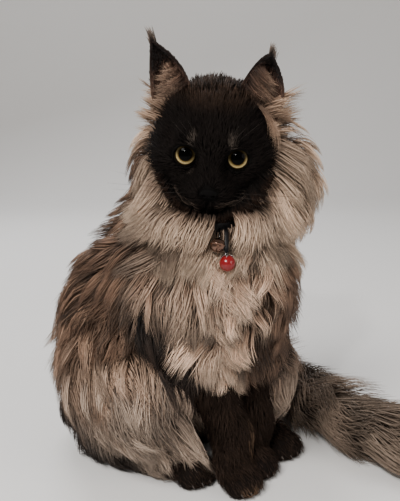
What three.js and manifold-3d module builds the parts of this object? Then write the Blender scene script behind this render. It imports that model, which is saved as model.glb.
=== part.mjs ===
// A long-haired maine coon cat, life size, seated with its head turned to the viewer and its tail laid
// round its left side. Lengths are in millimetres. Z is up, the face looks towards -Y, and X runs to the
// cat's left.
//
// The flesh is a set of balls and limbs, each with the depth of its coat. A smooth union of them is a field:
// share 0 of the coat is the skin, share 1 is the outline of the coat, and each core lies in between. The
// locks of the coat rise from inside the core to the outline, along the lie of the hair.

import * as THREE from "three";
import { mergeVertices } from "three/addons/utils/BufferGeometryUtils.js";
import Module from "manifold-3d";

const wasm = await Module();
wasm.setup();

const v3 = (x, y, z) => new THREE.Vector3(x, y, z);
const rad = THREE.MathUtils.degToRad;
const { lerp, clamp } = THREE.MathUtils;
const through = (...points) => new THREE.CatmullRomCurve3(points, false, "centripetal");

// Driving dimensions
const FINEST = 1e-3; // points closer than this are one
const GAP = 0.36; // between touching pieces
const BODY_TURN = rad(38); // heading of the trunk, turned to the cat's left from the heading of the face
const PAWS_MIDDLE = v3(44, -48, 0); // floor point midway between the front paws
const HEAD_CENTRE = v3(13, -7, 299);
const HEAD_PITCH = rad(22); // face tipped down
const HEAD_ROLL = rad(5.4); // crown tipped to the cat's left
const HEAD_YAW = rad(-2); // face turned to the cat's left
const EYE_RADIUS = 11.2;
const EYE_SPREAD = 20.8; // from the middle of the face to the centre of each eye
const EYE_HEIGHT = -1.3; // of the centre of each eye, from the middle of the head
const NOSE_HEIGHT = -18.5;
const CORE_SHARE = 0.45; // how far the core of the long coat reaches towards the tips

// The trunk's own directions, and a point given in them: forward from the front paws, to the left, and up.
const FORWARD = v3(Math.sin(BODY_TURN), -Math.cos(BODY_TURN), 0);
const LEFT = v3(Math.cos(BODY_TURN), Math.sin(BODY_TURN), 0);
const UP = v3(0, 0, 1);
const inBody = (forward, left, up) =>
  PAWS_MIDDLE.clone().addScaledVector(FORWARD, forward).addScaledVector(LEFT, left).addScaledVector(UP, up);

// The head's own directions, and a point given in them: to the cat's left, forward out of the face, and up.
const headTurn = new THREE.Matrix4()
  .makeRotationZ(HEAD_YAW)
  .multiply(new THREE.Matrix4().makeRotationY(HEAD_ROLL))
  .multiply(new THREE.Matrix4().makeRotationX(HEAD_PITCH));
const HEAD_LEFT = v3(1, 0, 0).applyMatrix4(headTurn);
const HEAD_FORWARD = v3(0, -1, 0).applyMatrix4(headTurn);
const HEAD_UP = v3(0, 0, 1).applyMatrix4(headTurn);
const inHead = (left, forward, up) =>
  HEAD_CENTRE.clone()
    .addScaledVector(HEAD_LEFT, left)
    .addScaledVector(HEAD_FORWARD, forward)
    .addScaledVector(HEAD_UP, up);
const bodyAxes = [LEFT, FORWARD, UP];
const headAxes = [HEAD_LEFT, HEAD_FORWARD, HEAD_UP];

// The flesh

// An ellipsoid with its radii along the left, forward and up directions of the trunk or the head.
function ball(axes, centre, radii, coat, lie) {
  return {
    coat,
    lie: lie.clone().normalize(),
    distance(p, extra) {
      const d = p.clone().sub(centre);
      let inner = 0;
      let outer = 0;
      axes.forEach((axis, i) => {
        const along = d.dot(axis);
        const r = radii[i] + extra;
        inner += (along / r) ** 2;
        outer += (along / (r * r)) ** 2;
      });
      if (outer < 1e-12) return -Math.min(...radii) - extra;
      return (Math.sqrt(inner) * (Math.sqrt(inner) - 1)) / Math.sqrt(outer);
    },
  };
}

// A round limb between two points, with a radius at each.
function limb(from, to, r0, r1, coat, lie = to.clone().sub(from)) {
  const way = to.clone().sub(from);
  return {
    coat,
    lie: lie.clone().normalize(),
    distance(p, extra) {
      const t = clamp(p.clone().sub(from).dot(way) / way.lengthSq(), 0, 1);
      return p.distanceTo(from.clone().addScaledVector(way, t)) - lerp(r0, r1, t) - extra;
    },
  };
}

const DOWN = v3(0, 0, -1);
const BACK = FORWARD.clone().negate();
const mix = (a, ka, b, kb) => a.clone().multiplyScalar(ka).addScaledVector(b, kb);

const COAT = {
  back: 25,
  flank: 27,
  chest: 25,
  ruff: 30,
  cheek: 9,
  face: 4,
  leg: 5,
  paw: 4,
  thigh: 22,
  tail: 27,
};

const RUMP = v3(-86, 76, 64);
const LOIN = v3(-58, 50, 138);
const RIBS = inBody(-64, 2, 188);
const torso = {
  blend: 9,
  flesh: [
    limb(RUMP, LOIN, 46, 48, COAT.back, mix(BACK, 0.45, DOWN, 0.9)),
    limb(LOIN, RIBS, 50, 45, COAT.flank, mix(BACK, 0.4, DOWN, 0.9)),
    ball(bodyAxes, inBody(-88, -4, 210), [38, 36, 36], COAT.back, mix(BACK, 0.8, DOWN, 0.6)),
    ball(bodyAxes, inBody(-34, 2, 176), [38, 30, 46], COAT.chest, mix(FORWARD, 0.12, DOWN, 1)),
    ball(bodyAxes, inBody(-92, 10, 88), [48, 52, 50], COAT.chest, mix(BACK, 0.1, DOWN, 1)),
  ],
};

const NAPE = inHead(0, -22, -24);
const neck = {
  blend: 9,
  flesh: [
    limb(inBody(-60, 4, 216), NAPE, 40, 33, COAT.ruff, mix(BACK, 0.1, DOWN, 1)),
    ball(bodyAxes, v3(45, 6, 262), [36, 30, 36], 30, v3(0.75, -0.15, -0.6)),
    ball(bodyAxes, v3(-4, 8, 262), [34, 30, 36], 22, v3(-0.65, -0.15, -0.7)),
    ball(bodyAxes, v3(13, -20, 230), [28, 20, 26], 23, v3(0.05, -0.3, -1)),
  ],
};

const BACKWARD = HEAD_FORWARD.clone().negate();
const side = (s) => HEAD_LEFT.clone().multiplyScalar(s);
const head = {
  blend: 3,
  flesh: [
    ball(headAxes, inHead(0, -8, 8), [40, 42, 36], 7, mix(BACKWARD, 1, HEAD_UP, 0.15)),
    limb(inHead(0, 31, 8), inHead(0, 54, NOSE_HEIGHT + 4), 8, 6, COAT.face, mix(BACKWARD, 0.6, HEAD_UP, 0.8)),
    ball(headAxes, inHead(0, 42, -22.5), [18, 18, 12], COAT.face, mix(BACKWARD, 1, HEAD_UP, -0.2)),
    ball(headAxes, inHead(0, 46, -36), [11, 10, 7], COAT.face, mix(BACKWARD, 0.7, HEAD_UP, -0.7)),
    limb(inHead(0, 41, -32.5), inHead(0, 2, -26), 9, 18, COAT.face, mix(BACKWARD, 0.8, HEAD_UP, -0.6)),
    ...[-1, 1].flatMap((s) => [
      ball(headAxes, inHead(s * 24, 12, -9), [20, 21, 20], COAT.cheek, mix(BACKWARD, 1, side(s), 0.7)),
      ball(headAxes, inHead(s * 14, 25, 14), [14, 11, 10], COAT.face, mix(BACKWARD, 0.6, HEAD_UP, 0.8)),
      ball(headAxes, inHead(s * 19, 24, -25), [16, 18, 13], COAT.face, mix(BACKWARD, 1, side(s), 0.7)),
      ball(headAxes, inHead(s * 9, 49, -25), [10, 9.5, 8.5], COAT.face, mix(BACKWARD, 1, side(s), 0.6)),
    ]),
  ],
};

const TOE_HEIGHT = 8.5;

// A front leg: shoulder, elbow, wrist and paw.
function frontLeg(s) {
  const shoulder = inBody(-58, s * 34, 172);
  const elbow = inBody(-46, s < 0 ? -27 : 30, 114);
  const wrist = s < 0 ? v3(25, -30, 44) : v3(46, -6, 44);
  const paw = s < 0 ? v3(28.5, -49, 13) : v3(45, -20, 13);
  const ankle = paw.clone().addScaledVector(BACK, 8).setZ(22);
  const toe = (i) => {
    const ahead = 12.5 - 2.4 * Math.abs(i);
    return paw.clone().addScaledVector(FORWARD, ahead).addScaledVector(LEFT, i * 7.6).setZ(TOE_HEIGHT);
  };
  return {
    elbow,
    wrist,
    paw,
    upperArm: limb(shoulder, elbow, 30, 21, 20, mix(DOWN, 1, BACK, 0.2)),
    leg: {
      blend: 4,
      flesh: [
        ball(bodyAxes, elbow, [17, 19, 20], 12, DOWN),
        limb(elbow, wrist, 17, 12, 7, mix(DOWN, 1, BACK, 0.35)),
        limb(wrist, ankle, 12, 13, COAT.leg, DOWN),
      ],
    },
    foot: {
      blend: 3,
      flesh: [
        ball(bodyAxes, paw, [14, 17, 12], COAT.paw, mix(FORWARD, 1, DOWN, 0.5)),
        ...[-1.5, -0.5, 0.5, 1.5].map((i) =>
          ball(bodyAxes, toe(i), [4.4, 8, 7.5], 2.5, mix(FORWARD, 1, DOWN, 0.5)),
        ),
      ],
    },
  };
}

// A hind leg folded under the cat: thigh, knee, heel and paw, at a distance to the left of the middle.
function hindLeg(back, left, knee, heelLeft, pawBack, pawLeft) {
  const centre = inBody(back, left, 74);
  const kneeAt = inBody(back + 52, knee, 80);
  const heel = inBody(back - 18, heelLeft, 19);
  const instep = inBody(pawBack - 12, lerp(heelLeft, pawLeft, 0.85), 15);
  const paw = inBody(pawBack, pawLeft, 13);
  return {
    centre,
    kneeAt,
    heel,
    paw,
    thigh: {
      blend: 8,
      flesh: [
        ball(bodyAxes, centre, [31, 60, 58], COAT.thigh, mix(DOWN, 1, FORWARD, 0.25)),
        limb(inBody(back + 6, left, 84), kneeAt, 36, 25, COAT.thigh, mix(DOWN, 1, FORWARD, 0.4)),
      ],
    },
    foot: {
      blend: 3,
      flesh: [
        limb(heel, instep, 14, 12.5, 7, mix(FORWARD, 1, DOWN, 0.3)),
        ball(bodyAxes, paw, [16, 20, 12], COAT.paw, mix(FORWARD, 1, DOWN, 0.5)),
        ...[-1.5, -0.5, 0.5, 1.5].map((toe) =>
          ball(
            bodyAxes,
            inBody(pawBack + 15 - 2.4 * Math.abs(toe), pawLeft + toe * 8.4, TOE_HEIGHT),
            [4.6, 8, 7.5],
            2.5,
            mix(FORWARD, 1, DOWN, 0.5),
          ),
        ),
      ],
    },
  };
}

const frontRight = frontLeg(-1);
const frontLeft = frontLeg(1);
torso.flesh.push(frontRight.upperArm, frontLeft.upperArm);
const hindRight = hindLeg(-126, -56, -60, -74, -50, -34);
const hindLeft = hindLeg(-112, 52, 62, 74, -36, 60);

// The tail leaves the rump, passes behind the left thigh and comes forward beside it.
const TAIL_Z = 30;
const tailLine = through(
  v3(-52, 96, 52),
  v3(-34, 142, 38),
  v3(22, 166, TAIL_Z),
  v3(74, 136, TAIL_Z),
  v3(106, 86, TAIL_Z),
  v3(126, 38, TAIL_Z),
  v3(162, -8, TAIL_Z),
  v3(200, -42, TAIL_Z - 2),
  v3(226, -60, TAIL_Z - 5),
);
const TAIL_STEPS = 10;
const tail = {
  blend: 5,
  flesh: Array.from({ length: TAIL_STEPS }, (_, i) => {
    const [t0, t1] = [i / TAIL_STEPS, (i + 1) / TAIL_STEPS];
    const from = tailLine.getPoint(t0);
    const to = tailLine.getPoint(t1);
    const plume = COAT.tail * Math.min(1.15, 0.72 + t0, 3.2 * (1.1 - t0));
    return limb(from, to, lerp(14, 7, t0), lerp(14, 7, t1), plume);
  }),
};

// Fields

// The value of a group's field at a point: negative inside.
function groupField(group, p, share, grow) {
  let sum = 0;
  let least = Infinity;
  const all = group.flesh.map((f) => f.distance(p, share * f.coat + grow));
  for (const d of all) least = Math.min(least, d);
  for (const d of all) sum += Math.exp((least - d) / group.blend);
  return least - group.blend * Math.log(sum);
}

const everything = [
  torso,
  neck,
  head,
  frontRight.leg,
  frontLeft.leg,
  frontRight.foot,
  frontLeft.foot,
  hindRight.thigh,
  hindLeft.thigh,
  hindRight.foot,
  hindLeft.foot,
  tail,
];
const fieldOf =
  (groups, share, grow = 0) =>
  (p) =>
    Math.min(...groups.map((g) => groupField(g, p, share, grow)));

// The solids

const solidOf = (geometry, tolerance = 1e-4) => {
  const bare = geometry.index ? geometry.toNonIndexed() : geometry.clone();
  bare.deleteAttribute("normal");
  bare.deleteAttribute("uv");
  const merged = mergeVertices(bare, tolerance);
  return new wasm.Manifold(
    new wasm.Mesh({
      numProp: 3,
      vertProperties: merged.attributes.position.array,
      triVerts: new Uint32Array(merged.index.array),
    }),
  );
};
const fromLists = (points, faces) => {
  const g = new THREE.BufferGeometry();
  g.setAttribute("position", new THREE.Float32BufferAttribute(points.flatMap((p) => [p.x, p.y, p.z]), 3));
  g.setIndex(faces.flat());
  return solidOf(g);
};

// How far a ray from a point inside goes before the field turns positive.
const FARTHEST = 250;
const RAY_STEP = 2;
const HALVINGS = 14;
function reach(field, from, way) {
  let r = 0;
  let step = RAY_STEP;
  while (field(from.clone().addScaledVector(way, r + step)) < 0 && r < FARTHEST) r += step;
  for (let i = 0; i < HALVINGS; i++) {
    step /= 2;
    if (field(from.clone().addScaledVector(way, r + step)) < 0) r += step;
  }
  return r;
}

// Rings of rays along a line, closed at both ends by a fan of rays, so that a ring count and a side count
// give a closed skin of the field. upward turns the seam of the rings.
function rays(line, rings, caps, sides, upward) {
  const out = [];
  const frameAt = (t) => {
    const along = line.getTangent(t);
    const u = upward.clone().addScaledVector(along, -upward.dot(along)).normalize();
    return { from: line.getPoint(t), along, u, v: along.clone().cross(u) };
  };
  const ring = (frame, tip) =>
    Array.from({ length: sides }, (_, i) => {
      const turn = (2 * Math.PI * i) / sides;
      const way = frame.u.clone().multiplyScalar(Math.cos(turn) * Math.cos(tip));
      way.addScaledVector(frame.v, Math.sin(turn) * Math.cos(tip));
      way.addScaledVector(frame.along, Math.sin(tip));
      return { from: frame.from, way };
    });
  const [start, end] = [frameAt(0), frameAt(1)];
  for (let j = caps - 1; j > 0; j--) out.push(ring(start, (-Math.PI / 2) * (j / caps)));
  for (let i = 0; i < rings; i++) out.push(ring(frameAt(rings > 1 ? i / (rings - 1) : 0), 0));
  for (let j = 1; j < caps; j++) out.push(ring(end, (Math.PI / 2) * (j / caps)));
  return {
    rings: out,
    first: { from: start.from, way: start.along.clone().negate() },
    last: { from: end.from, way: end.along },
  };
}

function wrapped(field, net) {
  const at = ({ from, way }) => from.clone().addScaledVector(way, reach(field, from, way));
  const sides = net.rings[0].length;
  const points = [at(net.first), ...net.rings.flatMap((r) => r.map(at)), at(net.last)];
  const index = (ring, i) => 1 + ring * sides + (i % sides);
  const faces = [];
  const last = points.length - 1;
  for (let i = 0; i < sides; i++) {
    faces.push([0, index(0, i + 1), index(0, i)]);
    for (let r = 0; r + 1 < net.rings.length; r++) {
      faces.push([index(r, i), index(r, i + 1), index(r + 1, i + 1)]);
      faces.push([index(r, i), index(r + 1, i + 1), index(r + 1, i)]);
    }
    faces.push([last, index(net.rings.length - 1, i), index(net.rings.length - 1, i + 1)]);
  }
  return fromLists(points, faces);
}

const nets = {
  head: rays(through(inHead(0, -14, 5), inHead(0, 43, -22)), 9, 5, 24, HEAD_UP),
  neck: rays(through(inBody(-52, 4, 216), NAPE), 4, 4, 18, FORWARD),
  torso: rays(through(v3(-60, 52, 82), inBody(-66, 2, 186)), 5, 5, 20, BACK),
};

const cores = {
  neck: (share, grow) => wrapped(fieldOf([neck], share, grow), nets.neck),
  torso: (share, grow) => wrapped(fieldOf([torso], share, grow), nets.torso),
};

const limbNet = (points, ...counts) => rays(through(...points), ...counts);
const legNets = new Map();
for (const leg of [frontRight, frontLeft]) {
  legNets.set(leg.leg, limbNet([leg.elbow, leg.wrist, leg.wrist.clone().setZ(26)], 6, 3, 12, FORWARD));
  legNets.set(leg.foot, limbNet([leg.paw, leg.paw.clone().addScaledVector(FORWARD, 8)], 3, 4, 16, UP));
}
for (const leg of [hindRight, hindLeft]) {
  legNets.set(leg.thigh, limbNet([leg.centre, leg.kneeAt], 4, 4, 14, UP));
  legNets.set(leg.foot, limbNet([leg.heel, leg.paw], 6, 4, 12, UP));
}

// One half space as a large box, on the side of the plane that the direction points away from.
const LARGE = 700;
function halfSpace(point, away) {
  const box = new THREE.BoxGeometry(LARGE, LARGE, LARGE);
  box.translate(0, 0, -LARGE / 2);
  box.applyQuaternion(new THREE.Quaternion().setFromUnitVectors(UP, away.clone().normalize()));
  box.translate(point.x, point.y, point.z);
  return solidOf(box);
}
const underFloor = halfSpace(v3(0, 0, 0), UP);

const largest = (solid) =>
  solid.decompose().reduce((best, s) => (!best || s.volume() > best.volume() ? s : best), null);

const tailNet = (t0, t1) => {
  const part = new THREE.CatmullRomCurve3(
    Array.from({ length: 6 }, (_, i) => tailLine.getPoint(lerp(t0, t1, i / 5))),
  );
  return rays(part, 6, 3, 10, UP);
};

// The face and the ears

const eyeCentre = (s) => inHead(s * EYE_SPREAD, 28.5, EYE_HEIGHT);
const sphere = (centre, radius, across, down) =>
  solidOf(new THREE.SphereGeometry(radius, across, down).translate(centre.x, centre.y, centre.z));

// A closed skin over rings of points, each end closed to a point of its own.
function skinned(first, rings, last) {
  const sides = rings[0].length;
  const points = [first, ...rings.flat(), last];
  const index = (ring, i) => 1 + ring * sides + (i % sides);
  const faces = [];
  for (let i = 0; i < sides; i++) {
    faces.push([0, index(0, i + 1), index(0, i)]);
    for (let r = 0; r + 1 < rings.length; r++) {
      faces.push([index(r, i), index(r, i + 1), index(r + 1, i + 1)]);
      faces.push([index(r, i), index(r + 1, i + 1), index(r + 1, i)]);
    }
    faces.push([points.length - 1, index(rings.length - 1, i), index(rings.length - 1, i + 1)]);
  }
  return fromLists(points, faces);
}

// An opening of the lids: a cone from the middle of the eye, out through a pointed oval.
const LID_WIDTH = 9.8;
const LID_HEIGHT = 9.2;
const LID_SLANT = 0.22; // outer corners stand higher
const LID_LIFT = 0.2; // the eyes look up from the tucked head
const LID_POINTS = 16;
function lidOpening(s) {
  const centre = eyeCentre(s);
  const out = mix(HEAD_FORWARD, 1, side(s), 0.1).addScaledVector(HEAD_UP, LID_LIFT).normalize();
  const across = mix(side(s), 1, HEAD_UP, LID_SLANT);
  across.addScaledVector(out, -across.dot(out)).normalize();
  const up = out.clone().cross(across).multiplyScalar(out.clone().cross(across).dot(HEAD_UP) > 0 ? 1 : -1);
  const turn = across.clone().cross(up).dot(out) > 0 ? 1 : -1;
  const ring = (distance, size) =>
    Array.from({ length: LID_POINTS }, (_, i) => {
      const a = (turn * 2 * Math.PI * i) / LID_POINTS;
      const high = Math.sin(a) * Math.abs(Math.sin(a)) ** 0.25;
      return centre
        .clone()
        .addScaledVector(out, distance)
        .addScaledVector(across, LID_WIDTH * size * Math.cos(a))
        .addScaledVector(up, LID_HEIGHT * size * high);
    });
  return skinned(
    centre.clone().addScaledVector(out, 4),
    [ring(4, 0.9), ring(9, 1), ring(16, 1.35), ring(34, 2)],
    centre.clone().addScaledVector(out, 34),
  );
}

// An ear: a curved shell between its inner edge and its outer edge, hollow to the front.
const EAR_WALL = 2.4;
const EAR_DEPTH = 20; // of the cup at its base
// Each ear's inner and outer edge: from its base, by a point that bends it, to the tip.
const EAR_TIP = { right: [-56, -15, 76], left: [41.5, -15, 71.5] };
const EAR_INNER = { right: [[-19, -8, 36], [-28, -12, 66]], left: [[16, -8, 39], [30, -12, 73]] };
const EAR_OUTER = { right: [[-50, -8, 14], [-58, -8, 42]], left: [[50, -8, 14], [65, -8, 44]] };
const EAR_RINGS = 8;
const EAR_ARC = 7; // points round each side of the shell
const curve = (a, b, c, t) => a.map((_, i) => (1 - t) ** 2 * a[i] + 2 * t * (1 - t) * b[i] + t * t * c[i]);
function earPoint(name, t, across, inward, grow) {
  const inner = curve(...EAR_INNER[name], EAR_TIP[name], t);
  const outer = curve(...EAR_OUTER[name], EAR_TIP[name], t);
  const width = Math.hypot(...inner.map((x, i) => outer[i] - x));
  const filled = inward && grow > 0; // a grown ear is the room it takes up, its hollow filled
  const widen = 1 + (2 * (inward && !filled ? -EAR_WALL : 1.5 * grow)) / width;
  const u = 0.5 + (across - 0.5) * Math.max(0.05, widen);
  const depth = filled ? -4 * grow : EAR_DEPTH * (1 - t) ** 0.7 + 3 + (inward ? -EAR_WALL : grow);
  const bend = Math.sin(Math.PI * across) * depth - (filled ? 2 * grow : -grow);
  const [x, y, z] = inner.map((v, i) => lerp(v, outer[i], u));
  return inHead(x, y - bend, z);
}
function ear(name, grow) {
  const ring = (t) => {
    const across = Array.from({ length: EAR_ARC }, (_, i) => i / (EAR_ARC - 1));
    const back = across.map((u) => earPoint(name, t, u, 0, grow));
    const front = across.map((u) => earPoint(name, t, 1 - u, 1, grow));
    return name === "right" ? [...back, ...front] : [...back, ...front].reverse();
  };
  const rings = Array.from({ length: EAR_RINGS }, (_, r) => ring(0.96 * (r / (EAR_RINGS - 1)) ** 0.85));
  const bottom = earPoint(name, 0, 0.5, 0, -EAR_WALL / 2);
  return skinned(bottom, rings, inHead(...EAR_TIP[name]).addScaledVector(HEAD_UP, 1 + grow));
}

// The head with its lids standing round the eyes.
const LID = 1.7; // thickness of the lids
function headSolid(share, grow) {
  let solid = wrapped(fieldOf([head], share, grow), nets.head);
  if (grow) return solid;
  for (const s of [-1, 1]) solid = solid.add(sphere(eyeCentre(s), EYE_RADIUS + LID, 14, 9));
  for (const s of [-1, 1]) solid = solid.subtract(lidOpening(s));
  return solid.subtract(mouthGroove());
}

// The line of the mouth: down from the nose, then out along the lips on both sides.
const MOUTH_GROOVE = 0.9;
const LIP_LINE = [[0, -23.5], [0, -28], [3.5, -32], [9, -32.5], [14, -29.5], [18.5, -25.5]];
function mouthGroove() {
  const field = fieldOf([head], 1);
  const section = [[1, 0], [0, 1], [-1, 0], [0, -1]]
    .map(([x, y]) => new THREE.Vector2(MOUTH_GROOVE * x, MOUTH_GROOVE * y));
  const sides = [-1, 1].map((s) => {
    const points = LIP_LINE.map(([x, z]) => {
      const from = inHead(0.5 * s * x, 30, 0.8 * z - 4);
      const way = inHead(s * x, 58 - 0.5 * x, z).sub(from).normalize();
      return from.clone().addScaledVector(way, reach(field, from, way));
    });
    const path = { steps: 7, bevelEnabled: false, extrudePath: through(...points) };
    return solidOf(new THREE.ExtrudeGeometry(new THREE.Shape(section), path));
  });
  return sides[0].add(sides[1]);
}

// The nose leather, a rounded wedge with a nostril at each side.
const NOSE = inHead(0, 62, NOSE_HEIGHT);
const NOSTRIL_OUT = 3.6;
function noseSolid(grow) {
  const g = new THREE.SphereGeometry(1, 12, 8);
  const at = g.attributes.position;
  for (let i = 0; i < at.count; i++) {
    const [x, y, z] = [at.getX(i), at.getY(i), at.getZ(i)];
    const narrow = z > 0 ? 1 : 1 + 0.45 * z;
    const p = NOSE.clone()
      .addScaledVector(HEAD_LEFT, x * narrow * (7.8 + grow))
      .addScaledVector(HEAD_FORWARD, -y * (4.2 + grow))
      .addScaledVector(HEAD_UP, z * (4.6 + grow));
    at.setXYZ(i, p.x, p.y, p.z);
  }
  if (grow) return solidOf(g);
  const nostril = (s) => {
    const c = inHead(s * NOSTRIL_OUT, 66, NOSE_HEIGHT - 0.9);
    return solidOf(new THREE.SphereGeometry(1.35, 8, 6).scale(1, 1.4, 0.8).translate(c.x, c.y, c.z));
  };
  return solidOf(g).subtract(nostril(-1)).subtract(nostril(1));
}

// The collar and what hangs from it. Each piece is built round an upright axis, then stood in its place.
const placed = (geometry, at, axis = UP) => {
  const turn = new THREE.Quaternion().setFromUnitVectors(UP, axis.clone().normalize());
  return solidOf(geometry.applyQuaternion(turn).translate(at.x, at.y, at.z));
};
const COLLAR_CENTRE = v3(12, -6, 246);
const COLLAR_ACROSS = 42; // half the width of the ring
const COLLAR_LONG = 47; // half its length from throat to nape
const COLLAR_DROP = 15; // how far the throat end hangs below the middle
const COLLAR_BAND = 9;
const COLLAR_THICK = 1.8;
const BELL_RADIUS = 6;
const BEAD_RADIUS = 6.3;
const BELL = v3(13.9, -69, 220.6);
const BEAD = v3(21, -75.5, 207.6);

function collar(grow) {
  const steps = 28;
  const ring = (k) => {
    const a = (2 * Math.PI * k) / steps;
    const out = v3(Math.cos(a) * COLLAR_LONG, Math.sin(a) * COLLAR_ACROSS, 0).normalize();
    const at = (r, up) =>
      v3(
        COLLAR_CENTRE.x + Math.sin(a) * COLLAR_ACROSS + out.y * r,
        COLLAR_CENTRE.y - Math.cos(a) * COLLAR_LONG - out.x * r,
        COLLAR_CENTRE.z - Math.cos(a) * COLLAR_DROP + up,
      );
    const r = COLLAR_THICK / 2 + grow;
    const h = COLLAR_BAND / 2 + grow;
    return [at(-r, -h), at(r, -h), at(r, h), at(-r, h)];
  };
  const points = Array.from({ length: steps }, (_, k) => ring(k)).flat();
  const faces = [];
  for (let k = 0; k < steps; k++) {
    for (let i = 0; i < 4; i++) {
      const [a, b] = [k * 4 + i, k * 4 + ((i + 1) % 4)];
      const [c, d] = [((k + 1) % steps) * 4 + i, ((k + 1) % steps) * 4 + ((i + 1) % 4)];
      faces.push([a, d, b], [a, c, d]);
    }
  }
  return fromLists(points, faces);
}

const WIRE = 0.8;
const LINK_WIDE = 2.6; // half the width of the link between bell and collar
const LINK_LONG = 5.6;
const bellAxis = v3(2.2, 4.5, 8).normalize();
const bellTop = BELL.clone().addScaledVector(bellAxis, BELL_RADIUS);
const collarFront = v3(16, COLLAR_CENTRE.y - COLLAR_LONG - COLLAR_THICK, COLLAR_CENTRE.z - COLLAR_DROP);
function bell(grow) {
  if (grow) return sphere(BELL, BELL_RADIUS + 0.9 + grow, 12, 8);
  const body = sphere(BELL, BELL_RADIUS, 12, 8);
  const band = placed(new THREE.CylinderGeometry(1, 1, 1, 12).rotateX(Math.PI / 2)
    .scale(BELL_RADIUS + 0.7, BELL_RADIUS + 0.7, 1.5), BELL, bellAxis);
  const solid = body.add(band);
  const low = BELL.clone().addScaledVector(bellAxis, -BELL_RADIUS);
  return solid.subtract(placed(new THREE.BoxGeometry(BELL_RADIUS * 1.5, 1.3, 4), low, bellAxis));
}
// The bell's link, a long ring that runs back through the hair to the collar.
function bellLoop(grow) {
  const middle = bellTop.clone().lerp(collarFront, 0.5);
  const along = collarFront.clone().sub(bellTop);
  if (!grow) {
    const ring = new THREE.TorusGeometry(LINK_WIDE, WIRE, 5, 12).rotateY(Math.PI / 2);
    return placed(ring.scale(1, 1, LINK_LONG / LINK_WIDE), middle, along);
  }
  const room = WIRE + 1 + grow;
  const egg = new THREE.SphereGeometry(1, 10, 8).scale(room, LINK_WIDE + room, LINK_LONG + room + 0.8);
  return placed(egg, middle, along);
}

const beadAxis = v3(-1.2, 7, 9).normalize();
const bead = (grow) => sphere(BEAD, BEAD_RADIUS + grow, grow ? 10 : 14, grow ? 7 : 9);
function beadCap(grow) {
  const top = BEAD.clone().addScaledVector(beadAxis, BEAD_RADIUS + 0.6);
  let solid = sphere(top, 2.3 + grow, 10, 7);
  if (grow) return solid;
  const aside = beadAxis.clone().cross(v3(1, 0, 0)).normalize();
  for (let k = 0; k < 6; k++) {
    const out = aside.clone().applyAxisAngle(beadAxis, (k * Math.PI) / 3);
    const tip = mix(beadAxis, 0.78, out, 0.63).multiplyScalar(BEAD_RADIUS + 0.4).add(BEAD);
    const petal = new THREE.SphereGeometry(1, 8, 6).scale(1.7 + grow, 1.7 + grow, 0.7 + grow);
    const turn = new THREE.Quaternion().setFromUnitVectors(UP, mix(beadAxis, 0.78, out, 0.63).normalize());
    solid = solid.add(solidOf(petal.applyQuaternion(turn).translate(tip.x, tip.y, tip.z)));
  }
  return solid;
}
// The black strap that carries the bead, from the front of the collar to the cap.
function charmStrap(grow) {
  const line = through(
    v3(20.4, -54.6, 232.5),
    v3(20.8, -62, 231),
    v3(21, -67.6, 224.5),
    v3(20.6, -70.8, 219),
    v3(20.4, -71.4, 215.4),
  );
  const half = 1.7 + grow;
  const thick = 0.7 + grow;
  const outline = new THREE.Shape([
    new THREE.Vector2(-half, -thick),
    new THREE.Vector2(half, -thick),
    new THREE.Vector2(half, thick),
    new THREE.Vector2(-half, thick),
  ]);
  return solidOf(new THREE.ExtrudeGeometry(outline, { steps: 5, bevelEnabled: false, extrudePath: line }));
}

const MATERIALS = {
  dark: new THREE.MeshStandardMaterial({ color: 0x1c1815, roughness: 0.9, metalness: 0 }),
  smoke: new THREE.MeshStandardMaterial({ color: 0x6b5c50, roughness: 0.9, metalness: 0 }),
  pale: new THREE.MeshStandardMaterial({ color: 0xa08f7e, roughness: 0.9, metalness: 0 }),
  eye: new THREE.MeshStandardMaterial({ color: 0xb98a35, roughness: 0.1, metalness: 0 }),
  nose: new THREE.MeshStandardMaterial({ color: 0x0f0d0c, roughness: 0.5, metalness: 0 }),
  strap: new THREE.MeshStandardMaterial({ color: 0x0b0b0c, roughness: 0.35, metalness: 0 }),
  bell: new THREE.MeshStandardMaterial({ color: 0xa9865a, roughness: 0.3, metalness: 1 }),
  cap: new THREE.MeshStandardMaterial({ color: 0xc9c9c9, roughness: 0.25, metalness: 1 }),
  bead: new THREE.MeshStandardMaterial({ color: 0xa51226, roughness: 0.12, metalness: 0 }),
};

// The locks of the long coat

// The same numbers on every run, from a seed.
function seeded(seed) {
  let state = seed;
  return () => {
    state = (state + 0x6d2b79f5) | 0;
    let t = Math.imul(state ^ (state >>> 15), 1 | state);
    t = (t + Math.imul(t ^ (t >>> 7), 61 | t)) ^ t;
    return ((t ^ (t >>> 14)) >>> 0) / 4294967296;
  };
}

const SHORT_COATS = new Set([
  head,
  ...[frontRight, frontLeft].flatMap(({ leg, foot }) => [leg, foot]),
  ...[hindRight, hindLeft].map(({ foot }) => foot),
]);
const HOVER = 4.5; // locks pass over the short coat at this height
const coatLevel = (g, p, share) =>
  SHORT_COATS.has(g) ? groupField(g, p, 1, HOVER) : groupField(g, p, share, 0);
const coatField = (p, share) => Math.min(...everything.map((g) => coatLevel(g, p, share)));
function outward(p, share) {
  const h = 1.5;
  const at = (x, y, z) => coatField(v3(p.x + x, p.y + y, p.z + z), share);
  return v3(at(h, 0, 0) - at(-h, 0, 0), at(0, h, 0) - at(0, -h, 0), at(0, 0, h) - at(0, 0, -h)).normalize();
}
const ontoCoat = (p, share) => {
  for (let i = 0; i < 3; i++) p.addScaledVector(outward(p, share), -coatField(p, share));
  return p;
};

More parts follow.
